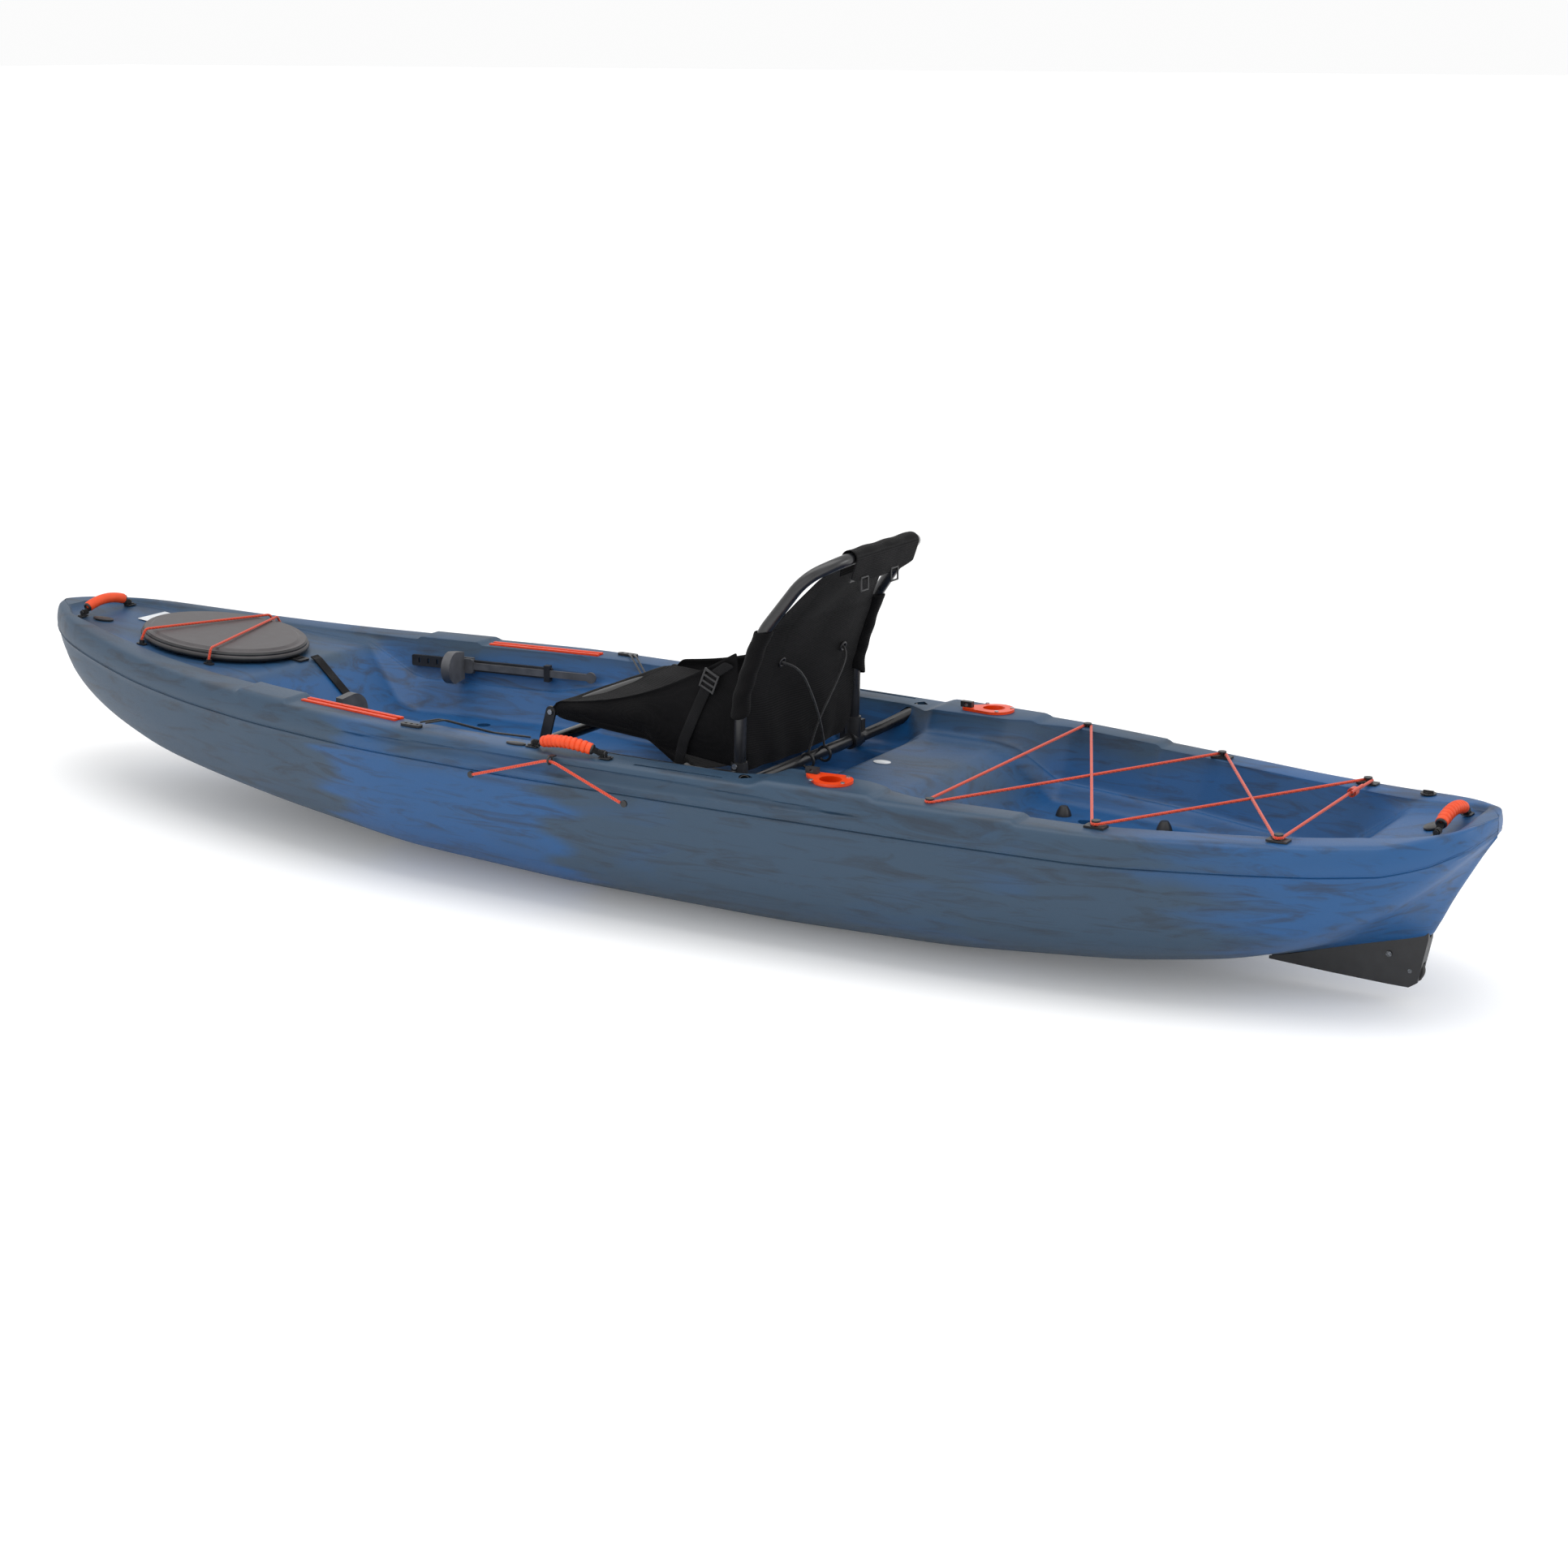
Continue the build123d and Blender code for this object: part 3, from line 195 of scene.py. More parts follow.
def make_metal(name, base, roughness):
    """Steel fasteners, turned and tumbled: bright, with fine scuffs 2.5 mm apart."""
    material, tree, surface, place = start_material(name, Metallic=1.0, Roughness=roughness)
    scuff = node(tree, "TexNoise", {"Vector": place, "Scale": 400.0, "Detail": 3.0}).outputs["Fac"]
    share = node(tree, "MapRange", {"Value": scuff, "From Min": 0.3, "From Max": 0.8}).outputs["Result"]
    mixed = node(tree, "Mix", {0: share, 6: base, 7: colour("#8d9094")}, data_type="RGBA").outputs[2]
    tree.links.new(mixed, surface.inputs["Base Color"])
    dull = node(tree, "MapRange", {"Value": scuff, "From Min": -1.0, "From Max": 3.0}).outputs["Result"]
    tree.links.new(dull, surface.inputs["Roughness"])
    return material


# rotomoulded polyethylene in slate, blue and near-black: marbled drifts under a satin, leathery skin
hull_plastic = make_marbled_polyethylene(
    "marbled_polyethylene", colour("#233e55"), colour("#084a7e"), colour("#141c28")
)
# glass-filled nylon, black, moulded: satin with a faint grain
black_nylon = make_moulded("black_nylon", colour("#1a1a1c"), colour("#242426"), 0.42)
# polypropylene lid, charcoal brown, moulded: softer sheen, swirls from the gate
lid_plastic = make_moulded("charcoal_polypropylene", colour("#3f3b3d"), colour("#4c4849"), 0.46, 500.0, 0.35)
# acetal foot pads and bars, moulded grey: dense, even and half matt
grey_acetal = make_moulded("grey_acetal", colour("#46474a"), colour("#55565a"), 0.5)
# polypropylene, moulded orange in a polished tool: bright, with a clean gloss
orange_plastic = make_moulded("orange_polypropylene", colour("#e2420c"), colour("#d83c08"), 0.34, 1200.0, 0.08)
# thermoplastic rubber over the handles, moulded orange: the same colour with the shine gone
orange_rubber = make_moulded("orange_soft_grip", colour("#e2480e"), colour("#d43f0a"), 0.55, 700.0, 0.3)
# solid rubber wheel, moulded: black going grey, nearly without a highlight
wheel_rubber = make_moulded("wheel_rubber", colour("#1c1b1c"), colour("#2a2929"), 0.7, 500.0, 0.4)
# powder-coated aluminium tube: black satin that catches long highlights
black_tube = make_moulded("powder_coated_tube", colour("#141416"), colour("#1d1d20"), 0.3, 1500.0, 0.12,
                          Coat_Weight=0.3, Coat_Roughness=0.25)
# stainless steel screws and bolts, turned: small bright points
stainless = make_metal("stainless_steel", colour("#c9ccd0"), 0.3)
# blackened steel axle and skeg screws: dark, with a metal glint
dark_steel = make_metal("blackened_steel", colour("#3a3b3e"), 0.45)
# shock cord in a braided polyester sheath, orange with darker flecks, 2.8 mm between strands
orange_cord = make_cordage("orange_shock_cord", colour("#de3f0a"), colour("#a82a06"), 0.0028)
# the same cord in black, 2.2 mm between strands
black_cord = make_cordage("black_cord", colour("#232325"), colour("#101011"), 0.0022)
# woven nylon webbing, 2.2 mm between its ribs: black with a faint dusty sheen
webbing = make_woven("black_webbing", colour("#101011"), colour("#1b1b1d"), 0.0022, 0.15)
# woven polyester seat cloth, near-black and matt; threads 1.8 mm apart, drawn coarser than the real 0.5 mm to show
seat_cloth = make_woven("black_seat_cloth", colour("#070708"), colour("#0e0d0f"), 0.0018, 0.05)
# vinyl film label, printed white and left blank: smooth and a little glossy
white_film = make_moulded("white_vinyl_label", colour("#d9dcdf"), colour("#c9cdd2"), 0.35, 300.0, 0.1)

SLOT_MATERIALS = {
    "hull_plastic": hull_plastic,
    "black_plastic": black_nylon,
    "lid_plastic": lid_plastic,
    "wheel_rubber": wheel_rubber,
    "steel": stainless,
    "orange_plastic": orange_plastic,
    "orange_cord": orange_cord,
    "orange_grip": orange_rubber,
    "black_webbing": webbing,
    "grey_plastic": grey_acetal,
    "black_tube": black_tube,
    "seat_fabric": seat_cloth,
}


def dress(piece, material):
    """Gives a piece one material."""
    piece.data.materials.clear()
    piece.data.materials.append(material)


for name, cad in frame["nodes"].items():
    slot = next(part["material_slot"] for part in frame["record"]["subparts"] if part["node"] == name)
    dress(cad, SLOT_MATERIALS[slot])
dress(frame["nodes"]["seat_tethers"], black_cord)
for name in ("skeg_axle", "skeg_screws"):
    dress(frame["nodes"][name], dark_steel)

# ---------------------------------------------------------------- hull tables
# station x, half beam, sheer height, seam height, keel height, height at half the half beam; millimetres
OFFSETS = [
    (-1782, 22, 402, 352, 335, 344),
    (-1740, 70, 402, 347, 275, 290),
    (-1650, 138, 397, 340, 190, 216),
    (-1500, 200, 380, 323, 112, 150),
    (-1300, 266, 362, 304, 52, 100),
    (-1100, 318, 352, 294, 26, 76),
    (-850, 372, 347, 289, 10, 52),
    (-500, 424, 346, 288, 2.5, 22),
    (-100, 428, 343, 285, 0.5, 8),
    (400, 410, 341, 283, 0.5, 5.5),
    (800, 388, 338, 280, 6, 16),
    (1150, 344, 331, 274, 20, 45),
    (1360, 286, 335, 278, 42, 76),
    (1520, 246, 342, 286, 92, 128),
    (1640, 208, 352, 297, 124, 196),
    (1675, 183, 358, 304, 133, 228),
    (1710, 152, 364, 312, 212, 262),
    (1760, 92, 374, 334, 305, 318),
    (1782, 34, 378, 352, 340, 345),
]

# the well: x, floor height, half width of the floor, shelf height, inner and outer half width of the shelf,
# half width at the sheer; millimetres
WELL = [
    (-1782, 402, 4, 402, 5, 6, 8),
    (-1722, 401, 44, 401, 46, 48, 52),
    (-1713, 389, 50, 393, 52, 54, 58),
    (-1660, 384, 96, 388, 98, 100, 104),
    (-1520, 372, 132, 376, 136, 138, 144),
    (-1480, 368.5, 144, 372.5, 148, 150, 157),
    (-1240, 347.7, 204, 352, 207, 209, 216),
    (-1030, 329.5, 236, 334, 240, 244, 258),
    (-900, 215, 184, 270, 240, 246, 276),
    (-860, 195, 196, 262, 248, 252, 284),
    (-540, 195, 240, 262, 290, 296, 330),
    (-400, 195, 252, 285, 290, 328, 350),
    (-220, 195, 232, 290, 240, 326, 352),
    (248, 195, 232, 290, 240, 318, 342),
    (266, 195, 232, 255, 240, 300, 341),
    (385, 195, 230, 255, 240, 298, 336),
    (405, 200, 226, 262, 240, 296, 328),
    (470, 304, 225, 308, 240, 262, 284),
    (650, 304, 225, 308, 240, 262, 288),
    (690, 285, 232, 296, 262, 270, 304),
    (775, 200, 250, 236, 276, 285, 322),
    (1100, 195, 214, 228, 238, 246, 282),
    (1400, 195, 128, 224, 150, 158, 204),
    (1440, 212, 122, 234, 142, 150, 194),
    (1575, 328, 112, 334, 132, 136, 150),
    (1690, 345, 114, 352, 119, 121, 127),
    (1728, 352, 96, 358, 99, 101, 106),
    (1737, 368, 84, 368, 86, 88, 94),
    (1782, 378, 5, 378, 6, 7, 9),
]


def read_table(table, x):
    """One row of a table at x, read straight between its stations."""
    for low, high in zip(table, table[1:]):
        if x <= high[0]:
            break
    share = min(1.0, max(0.0, (x - low[0]) / (high[0] - low[0])))
    return [a + share * (b - a) for a, b in zip(low, high)]


def eased_row(table, x, reach):
    """A row with the corners between stations rounded over reach on each side."""
    reach = min(reach, x - table[0][0], table[-1][0] - x)
    if reach < 1:
        return read_table(table, x)
    steps = [read_table(table, x + reach * s) for s in (-1, -0.67, -0.33, 0, 0.33, 0.67, 1)]
    weights = (0.5, 1, 1.5, 2, 1.5, 1, 0.5)
    return [sum(w * row[i] for w, row in zip(weights, steps)) / 8 for i in range(len(table[0]))]


def easing(x):
    """How far the hull's lines are rounded at x: widely along the boat, and closely where the stern post turns."""
    return 90.0 if x < 1440 else max(12.0, 90 - 0.45 * (x - 1440))


def nose(x):
    """Draws the sections in to a rounded edge at the bow and the stern."""
    return sqrt(max(0.0, 1 - (max(0.0, abs(x) - 1762) / 20) ** 2)) * 0.97 + 0.03


def step_up(value, low, high):
    """0 below low, 1 above high, and a smooth climb between them."""
    t = min(1.0, max(0.0, (value - low) / (high - low)))
    return t * t * (3 - 2 * t)


def between(value, low, high, slope):
    """1 from low to high, falling smoothly to 0 over slope on each side."""
    return step_up(value, low - slope, low) * (1 - step_up(value, high, high + slope))


def run(first, last, count):
    """Points from first up to but not including last, evenly spaced."""
    return [tuple(a + (b - a) * i / count for a, b in zip(first, last)) for i in range(count)]


def rounded(points, radius, steps=4):
    """A polyline with its inner corners turned into short curves of about the given radius."""
    made = [points[0]]
    for a, b, c in zip(points, points[1:], points[2:]):
        a, b, c = Vector(a), Vector(b), Vector(c)
        back = min(radius, 0.45 * (a - b).length)
        on = min(radius, 0.45 * (c - b).length)
        p = b + (a - b).normalized() * back if (a - b).length else b
        q = b + (c - b).normalized() * on if (c - b).length else b
        for i in range(steps + 1):
            t = i / steps
            made.append(tuple((1 - t) ** 2 * p + 2 * t * (1 - t) * b + t * t * q))
    return made + [points[-1]]


# ---------------------------------------------------------------- deck moulding
def gunwale_rise(x):
    """The raised pads on the gunwales: one ahead of the gear tracks and a long one beside the tank well."""
    return 7.0 * between(x, -905, -752, 9) + 7.0 * between(x, 690, 985, 9)


def side_crease(x, share):
    """A long lens pressed into the side below the gunwale: share runs 0 at the seam to 1 at the sheer."""
    along = max(0.0, 1 - ((x - 60) / 640) ** 2)
    middle, half = 0.62, 0.30 * along + 0.001
    across = max(0.0, 1 - ((share - middle) / half) ** 2)
    return -9.0 * sqrt(along) * sqrt(across)


def floor_ribs(x, y):
    """Ribs and grooves pressed into the floors of the footwell and the tank well."""
    rise = 0.0
    if -850 < x < -230:
        fade = between(x, -820, -260, 20) * (1 - step_up(abs(y), 150, 200))
        for slant in (-1, 1):
            along = (x + 0.55 * slant * y) % 118
            rise -= 3.0 * fade * max(0.0, 1 - abs(along - 59) / 9)
        rise -= 3.2 * between(x, -820, -280, 8) * max(0.0, 1 - abs(abs(y) - 92) / 9)
    if 800 < x < 1400:
        width = 190 - 0.16 * (x - 800)
        fade = between(x, 830, 1370, 16) * (1 - step_up(abs(y), width - 40, width))
        for slant in (-1, 1):
            along = (x + 0.8 * slant * y) % 150
            rise += 3.4 * fade * max(0.0, 1 - abs(along - 75) / 11)
        rise += 5.0 * between(x, 840, 1360, 12) * max(0.0, 1 - abs(abs(y) - 62) / 14)
    return rise


def deck_skin(x):
    """Starboard half of the deck's upper skin, from the seam over the gunwale and down into the well."""
    _, beam, top, seam, _, _ = eased_row(OFFSETS, x, easing(x))
    _, floor, floor_half, shelf, shelf_in, shelf_out, top_half = eased_row(WELL, x, 15 if abs(x) < 1690 else 3)
    shoulder = max(top_half + 6, beam - 8)
    pad = gunwale_rise(x) * step_up(shoulder - top_half, 10, 30)
    rod_pad = max(0.0, 352.0 - top) * between(x, 478, 690, 40)
    flat = top + max(pad, rod_pad)
    side = []
    for i in range(13):
        share = i / 13
        bulge = 3.2 * sin(pi * share) + side_crease(x, share)
        side.append((beam + 7 - 5 * share + bulge, seam + 1.2 + (top - 11 - seam) * share))
    side[0] = (beam + 6, seam + 1.2)
    side.insert(1, (beam + 8.5, seam + 3.5))
    shoulder_line = [(beam + 2, top - 10), (beam - 3, top - 2.5 + 0.5 * (flat - top)), (shoulder - 5, flat)]
    inner_edge = max(top_half, 1)
    lip = min(8.0, 0.4 * (flat - max(shelf, floor)))
    rim = [(inner_edge + 5, flat), (inner_edge + 1.2, flat - 1.4), (inner_edge - 0.6, flat - lip)]
    walls = rounded([rim[-1], (shelf_out, shelf), (shelf_in, shelf), (floor_half, floor), (0.3 * floor_half, floor)], 13)
    line = side + rounded([side[-1], *shoulder_line, rim[0]], 6, 3)[1:] + rim[1:-1] + walls
    # the last stretch across the floor is divided evenly, so every station has the same number of points
    floor_part = run(line[-1], (0, floor), 9) + [(0, floor)]
    line = line[:-1] + floor_part
    return [(y, z + (floor_ribs(x, y) if z < floor + 0.5 and y < floor_half - 8 else 0.0)) for y, z in line]


def deck_under(x):
    """Starboard half of the deck's lower skin, from the centre line out to the seam."""
    _, beam, top, seam, _, _ = eased_row(OFFSETS, x, easing(x))
    _, floor, floor_half, shelf, shelf_in, shelf_out, top_half = eased_row(WELL, x, 15 if abs(x) < 1690 else 3)
    return [
        (0, floor - 9),
        (floor_half + 3, floor - 9),
        (shelf_in + 4, shelf - 6),
        (shelf_out + 5, shelf - 6),
        (min(top_half + 5, beam - 9), top - 7),
        (max(beam - 14, top_half * 0.9), top - 7),
        (beam - 4, top - 16),
        (beam + 1, seam + 1.2),
    ]


def loft(name, stations, half_out, half_in):
    """A closed shell through sections: each is the outer half line, its mirror, and the inner line between."""
    rings = []
    for x in stations:
        pinch = nose(x)
        outer, inner = [[(y * pinch, z) for y, z in half(x)] for half in (half_out, half_in)]
        ring = outer + [(-y, z) for y, z in reversed(outer[:-1])]
        inner_port = [(-y, z) for y, z in reversed(inner)]
        ring += inner_port[:-1] + inner
        rings.append([(x * MM, y * MM, z * MM) for y, z in ring])
    count = len(rings[0])
    points = [point for ring in rings for point in ring]
    faces = [tuple(range(count))]
    for r in range(len(rings) - 1):
        a, b = r * count, (r + 1) * count
        for i in range(count):
            j = (i + 1) % count
            faces.append((a + i, b + i, b + j, a + j))
    faces.append(tuple(reversed(range((len(rings) - 1) * count, len(rings) * count))))
    mesh = bpy.data.meshes.new(name)
    mesh.from_pydata(points, [], faces)
    mesh.update()
    piece = bpy.data.objects.new(name, mesh)
    bpy.context.collection.objects.link(piece)
    pick(piece)
    bpy.ops.object.mode_set(mode="EDIT")
    bpy.ops.mesh.select_all(action="SELECT")
    bpy.ops.mesh.normals_make_consistent(inside=False)
    bpy.ops.object.mode_set(mode="OBJECT")
    return piece


def pick(piece):
    """Makes a piece the one selected and active object."""
    bpy.ops.object.select_all(action="DESELECT")
    piece.select_set(True)
    bpy.context.view_layer.objects.active = piece


def cut(piece, cutter):
    """Takes a cutter's volume out of a piece and removes the cutter."""
    pick(piece)
    modifier = piece.modifiers.new("cut", "BOOLEAN")
    modifier.object = cutter
    modifier.operation = "DIFFERENCE"
    modifier.solver = "EXACT"
    bpy.ops.object.modifier_apply(modifier=modifier.name)
    bpy.data.objects.remove(cutter)


def smooth(piece, degrees=35):
    """Shades a piece smooth, with edges sharper than degrees kept crisp."""
    pick(piece)
    bpy.ops.object.shade_smooth_by_angle(angle=radians(degrees))


def settle(piece):
    """Moves a piece's place, turn and size into its mesh."""
    pick(piece)
    bpy.ops.object.transform_apply(location=True, rotation=True, scale=True)


def stations(low, high, step):
    """Places from low to high, about step apart."""
    count = round((high - low) / step)
    return [low + (high - low) * i / count for i in range(count + 1)]


def bottom_skin(x):
    """Starboard half of the bottom's outer skin, from the seam down to the keel."""
    _, beam, top, seam, keel, turn = eased_row(OFFSETS, x, easing(x))
    rise = seam - turn
    key = [
        (beam + 7.5, seam - 1),
        (beam + 3, seam - 7),
        (0.95 * beam + 1, turn + 0.55 * rise),
        (0.8 * beam, turn + 0.22 * rise),
        (0.5 * beam, turn),
        (0.25 * beam, 0.5 * (keel + turn) + 2),
        (0, keel),
    ]
    line = [(beam + 6, seam + 0.7)] + key[:2]
    padded = [key[1]] + key[1:] + [(-key[-2][0], key[-2][1])]
    for a, b, c, d in zip(padded, padded[1:], padded[2:], padded[3:]):
        for i in range(1, 7):
            t = i / 6
            line.append(tuple(
                0.5 * (2 * q + (r - p) * t + (2 * p - 5 * q + 4 * r - s) * t * t + (3 * q - p - 3 * r + s) * t**3)
                for p, q, r, s in zip(a, b, c, d)
            ))
    line[-1] = (0, line[-1][1])
    return line


def bottom_inside(x):
    """Starboard half of the bottom's inner skin, from the keel up to the seam."""
    _, beam, top, seam, keel, turn = eased_row(OFFSETS, x, easing(x))
    rise = seam - turn
    depth = min(6.0, 0.3 * (seam - keel))
    return [
        (0, keel + depth),
        (0.5 * beam - 2, turn + depth),
        (0.78 * beam, turn + 0.24 * rise + 0.6 * depth),
        (0.93 * beam - 2, turn + 0.6 * rise),
        (beam - 1, seam + 0.7),
    ]


bottom = loft("bottom_moulding", stations(-1782, 1782, 13), bottom_skin, bottom_inside)
deck = loft("deck_moulding", stations(-1782, 1782, 6.5), deck_skin, deck_under)


def paint_blueness(piece, lined):
    """Marks each point with how much of the blue powder it took: the stern, a patch amidships and, in the piece
    that is lined with them, the wells."""
    attribute = piece.data.attributes.new("blueness", "FLOAT", "POINT")
    values = []
    for vertex in piece.data.vertices:
        x, y, z = (c / MM for c in vertex.co)
        row = read_table(WELL, x)
        top = read_table(OFFSETS, x)[2]
        inside = lined * step_up(row[6] + 6 - abs(y), 0, 14) * step_up(top + 4 - z, 0, 14)
        ragged = 40 * sin(z / 13) + 26 * sin(z / 5.3 + 1)
        patch = between(x + ragged, -560, -60, 90) * (1 - step_up(z, 250, 330) * 0.5) * 0.75
        stern = step_up(x + 0.9 * (z - 300) + ragged, 1050, 1450) * 0.85
        far = 0.25 if y > 0 else 0.0
        bow = between(x, -1782, -1030, 60)
        well_tone = 0.9 - 0.62 * bow - 0.5 * between(x, 430, 720, 60)
        values.append(max(inside * well_tone, patch * (1 - inside), stern * (1 - inside), far * (1 - inside)))
    attribute.data.foreach_set("value", values)


def place_cylinder(radius, depth, place, turn=(0, 0, 0), vertices=48):
    """Adds a cylinder of a radius and depth in millimetres at a place."""
    bpy.ops.mesh.primitive_cylinder_add(
        radius=radius * MM, depth=depth * MM, location=[c * MM for c in place], rotation=turn, vertices=vertices
    )
    return bpy.context.object


def place_block(size, place, turn=(0, 0, 0)):
    """Adds a block of a size in millimetres at a place."""
    bpy.ops.mesh.primitive_cube_add(size=1, location=[c * MM for c in place], rotation=turn)
    block = bpy.context.object
    block.scale = [s * MM for s in size]
    settle(block)
    return block


# openings: scuppers, rod holders, gear tracks, gunwale slots and the ends of the seat's rear bar
SCUPPERS = [(-640, -170), (-640, 170), (900, -150), (900, 150)]
for x, y in SCUPPERS:
    cut(deck, place_cylinder(16, 60, (x, y, 195)))
    cut(bottom, place_cylinder(16, 120, (x, y, 20)))
for side in (-1, 1):
    cut(deck, place_cylinder(27, 120, (588, side * 338, 352), (radians(-10 * side), radians(25), 0)))
    cut(deck, place_block((290, 28, 30), (-588.5, side * 347, 351.6), (0, 0, radians(6.95) * side)))
    cut(deck, place_block((200, 9, 7), (274, side * 392, 343), (0, 0, radians(-2.6) * side)))
    aim = Vector((52, side * 53.6, 32.2))
    spin = Vector((0, 0, 1)).rotation_difference(aim).to_euler()
    cut(deck, place_cylinder(14.2, 110, (380, side * 328.5, 316), spin))
for piece in (bottom, deck):
    paint_blueness(piece, 1.0 if piece is deck else 0.0)
    smooth(piece, 38)
    dress(piece, hull_plastic)
    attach(piece, "hull")
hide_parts("hull_lower")
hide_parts("deck")

# ---------------------------------------------------------------- seat
def cloth(name, place_at, rows, columns, thick=2.0, closed=False):
    """A sheet of cloth through place_at(along, across), both 0 to 1, given its thickness and softened."""
    points, faces = [], []
    for r in range(rows + 1):
        for c in range(columns + (0 if closed else 1)):
            points.append(tuple(v * MM for v in place_at(r / rows, c / columns)))
    width = columns if closed else columns + 1
    for r in range(rows):
        for c in range(columns):
            d = (c + 1) % width
            faces.append((r * width + c, r * width + d, (r + 1) * width + d, (r + 1) * width + c))
    mesh = bpy.data.meshes.new(name)
    mesh.from_pydata(points, [], faces)
    piece = bpy.data.objects.new(name, mesh)
    bpy.context.collection.objects.link(piece)
    pick(piece)
    solid = piece.modifiers.new("thickness", "SOLIDIFY")
    solid.thickness = thick * MM
    solid.offset = 0
    bpy.ops.object.modifier_apply(modifier=solid.name)
    soft = piece.modifiers.new("softness", "SUBSURF")
    soft.levels = soft.render_levels = 1
    bpy.ops.object.modifier_apply(modifier=soft.name)
    bpy.ops.object.mode_set(mode="EDIT")
    bpy.ops.mesh.select_all(action="SELECT")
    bpy.ops.mesh.normals_make_consistent(inside=False)
    bpy.ops.object.mode_set(mode="OBJECT")
    smooth(piece, 60)
    dress(piece, seat_cloth)
    return piece


def read_line(points, at):
    """Reads a line of (at, value, ...) rows."""
    return read_table(points, at)[1:]


PAN_LINE = [(-164, 374), (-150, 374), (92, 356), (196, 290), (210, 284)]
BACK_LINE = [(335, 316), (345, 316), (450, 318), (505, 334), (600, 370), (696, 440), (742, 505)]
BACK_HALF = [(300, 196), (335, 206), (430, 222), (584, 222), (604, 198), (655, 164), (700, 126), (742, 116)]
POST = [(300, 312, 226), (440, 315.5, 226), (470, 319.5, 225.8), (520, 337, 225.2), (570, 355, 224.6), (615, 376, 222),
        (670, 414, 214), (712, 452, 203)]


def pull(x, y, scale, phase):
    """Low creases in stretched cloth."""
    return sin(x / scale + 1.7 * sin(y / (1.9 * scale) + phase)) * sin(y / (1.4 * scale) - phase)


def seat_cover_at(along, across):
    """The seat's panel: wrapped under the front bar and round both rails of the pan, and hollow between them."""
    side = 2 * across - 1
    wrap = radians(-80 + 170 * min(1.0, along / 0.14))
    x = -150 - 14 * cos(wrap) if along < 0.14 else -150 + 358 * (along - 0.14) / 0.86
    rail = read_line(PAN_LINE, x)[0]
    corner = min(1.0, max(0.0, (-104 - x) / 60))
    half = 218 - 40 * (1 - sqrt(1 - corner * corner))
    if along < 0.14:
        y = side * (half + 8)
        return (x, y, 374 + 14 * sin(wrap) + 0.8 * pull(x, y, 22, 0.4))
    if abs(side) > 0.86:
        turn = radians(100 - 165 * (abs(side) - 0.86) / 0.14)
        y = (1 if side > 0 else -1) * (half + 14 * cos(turn))
        return (x, y, rail + 14 * sin(turn))
    y = side / 0.86 * (half - 2.4)
    hollow = (1 - (side / 0.86) ** 2) * (9 + 17 * step_up(x, -140, 20))
    return (x, y, rail + 13.8 - hollow + 2.0 * pull(x, y, 30, 0.9) * (1 - abs(side)))


def wing_at(side):
    """A side wing: from the pan's rail up to the back's leg, its upper edge climbing aft."""

    def at(along, across):
        x = -158 + 470 * along
        low = read_line(PAN_LINE, min(x, 92))[0] + 2 - 0.10 * max(0.0, x - 92) - 20 * step_up(x, 86, 120)
        high = 396 + 158 * along - 34 * sin(pi * along) - 26 * (1 - step_up(along, 0.0, 0.07))
        z = low + (high - low) * across
        bow = 9 * sin(pi * along) * sin(pi * min(1.0, across * 1.1))
        quilt = -1.6 * max(0.0, 1 - abs((x * 0.5 + z) % 62 - 31) / 5)
        rolled = 3.0 * step_up(across, 0.93, 1.0)
        y = 231 + bow + quilt + rolled + 3.2 * pull(x, z, 26, 0.6 + side) * sin(pi * across)
        return (x, side * y, z)

    return at


def back_panel_at(along, across):
    """The back's panel, hollowed a little aft, with folds gathering towards its foot."""
    z = 300 + 442 * along
    side = 2 * across - 1
    x = read_line(BACK_LINE, max(z, 335))[0] - (335 - min(z, 335)) * 0.35
    half = read_line(BACK_HALF, z)[0]
    hollow = (1 - side * side) * (15 - 9 * along)
    folds = 2.2 * (1 - step_up(z, 320, 440)) * sin(side * 13 + z / 40) + 2.8 * pull(side * 220, z, 38, 0.3)
    seam = -1.8 * max(0.0, 1 - abs(z - 470 - 16 * side * side) / 6) - 1.5 * max(0.0, 1 - abs(abs(side) - 0.62) / 0.02)
    return (x + hollow + (folds + seam) * (1 - abs(side) ** 6), side * half, z)


def sleeve_at(side):
    """A sleeve of the back's cloth round one leg of the hoop, loose at its lower hem."""

    def at(along, across):
        z = 428 + 172 * along
        x, y = read_line(POST, z)
        turn = 2 * pi * across
        loose = 17.4 + 2.2 * (1 - along) * (0.5 + 0.5 * sin(2 * turn)) + 0.9 * sin(along * 23 + turn)
        hem = 1.2 * between(along, 0.0, 0.06, 0.03) + 1.2 * between(along, 0.95, 1.0, 0.03)
        return (x + (loose + hem) * cos(turn), side * (y + (loose + hem) * sin(turn)), z - 9 * sin(turn) * (1 - along))

    return at


def flap_at(along, across):
    """The head flap: over the hoop's top bar and down behind it, its corners drooping."""
    y = 126 * (2 * across - 1)
    if along < 0.25:
        share = along / 0.25
        x, z = 482 + 5 * share, 704 + 34 * share
    elif along < 0.62:
        turn = radians(165 - 160 * (along - 0.25) / 0.37)
        x, z = 504.5 + 17.6 * cos(turn), 742 + 17.0 * sin(turn)
    else:
        share = (along - 0.62) / 0.38
        x, z = 522 - 15 * share, 742 - (52 - 12 * abs(2 * across - 1) ** 4) * share
    return (x + 1.2 * pull(y, z, 21, 0.2), y, z + 0.8 * sin(y / 13))


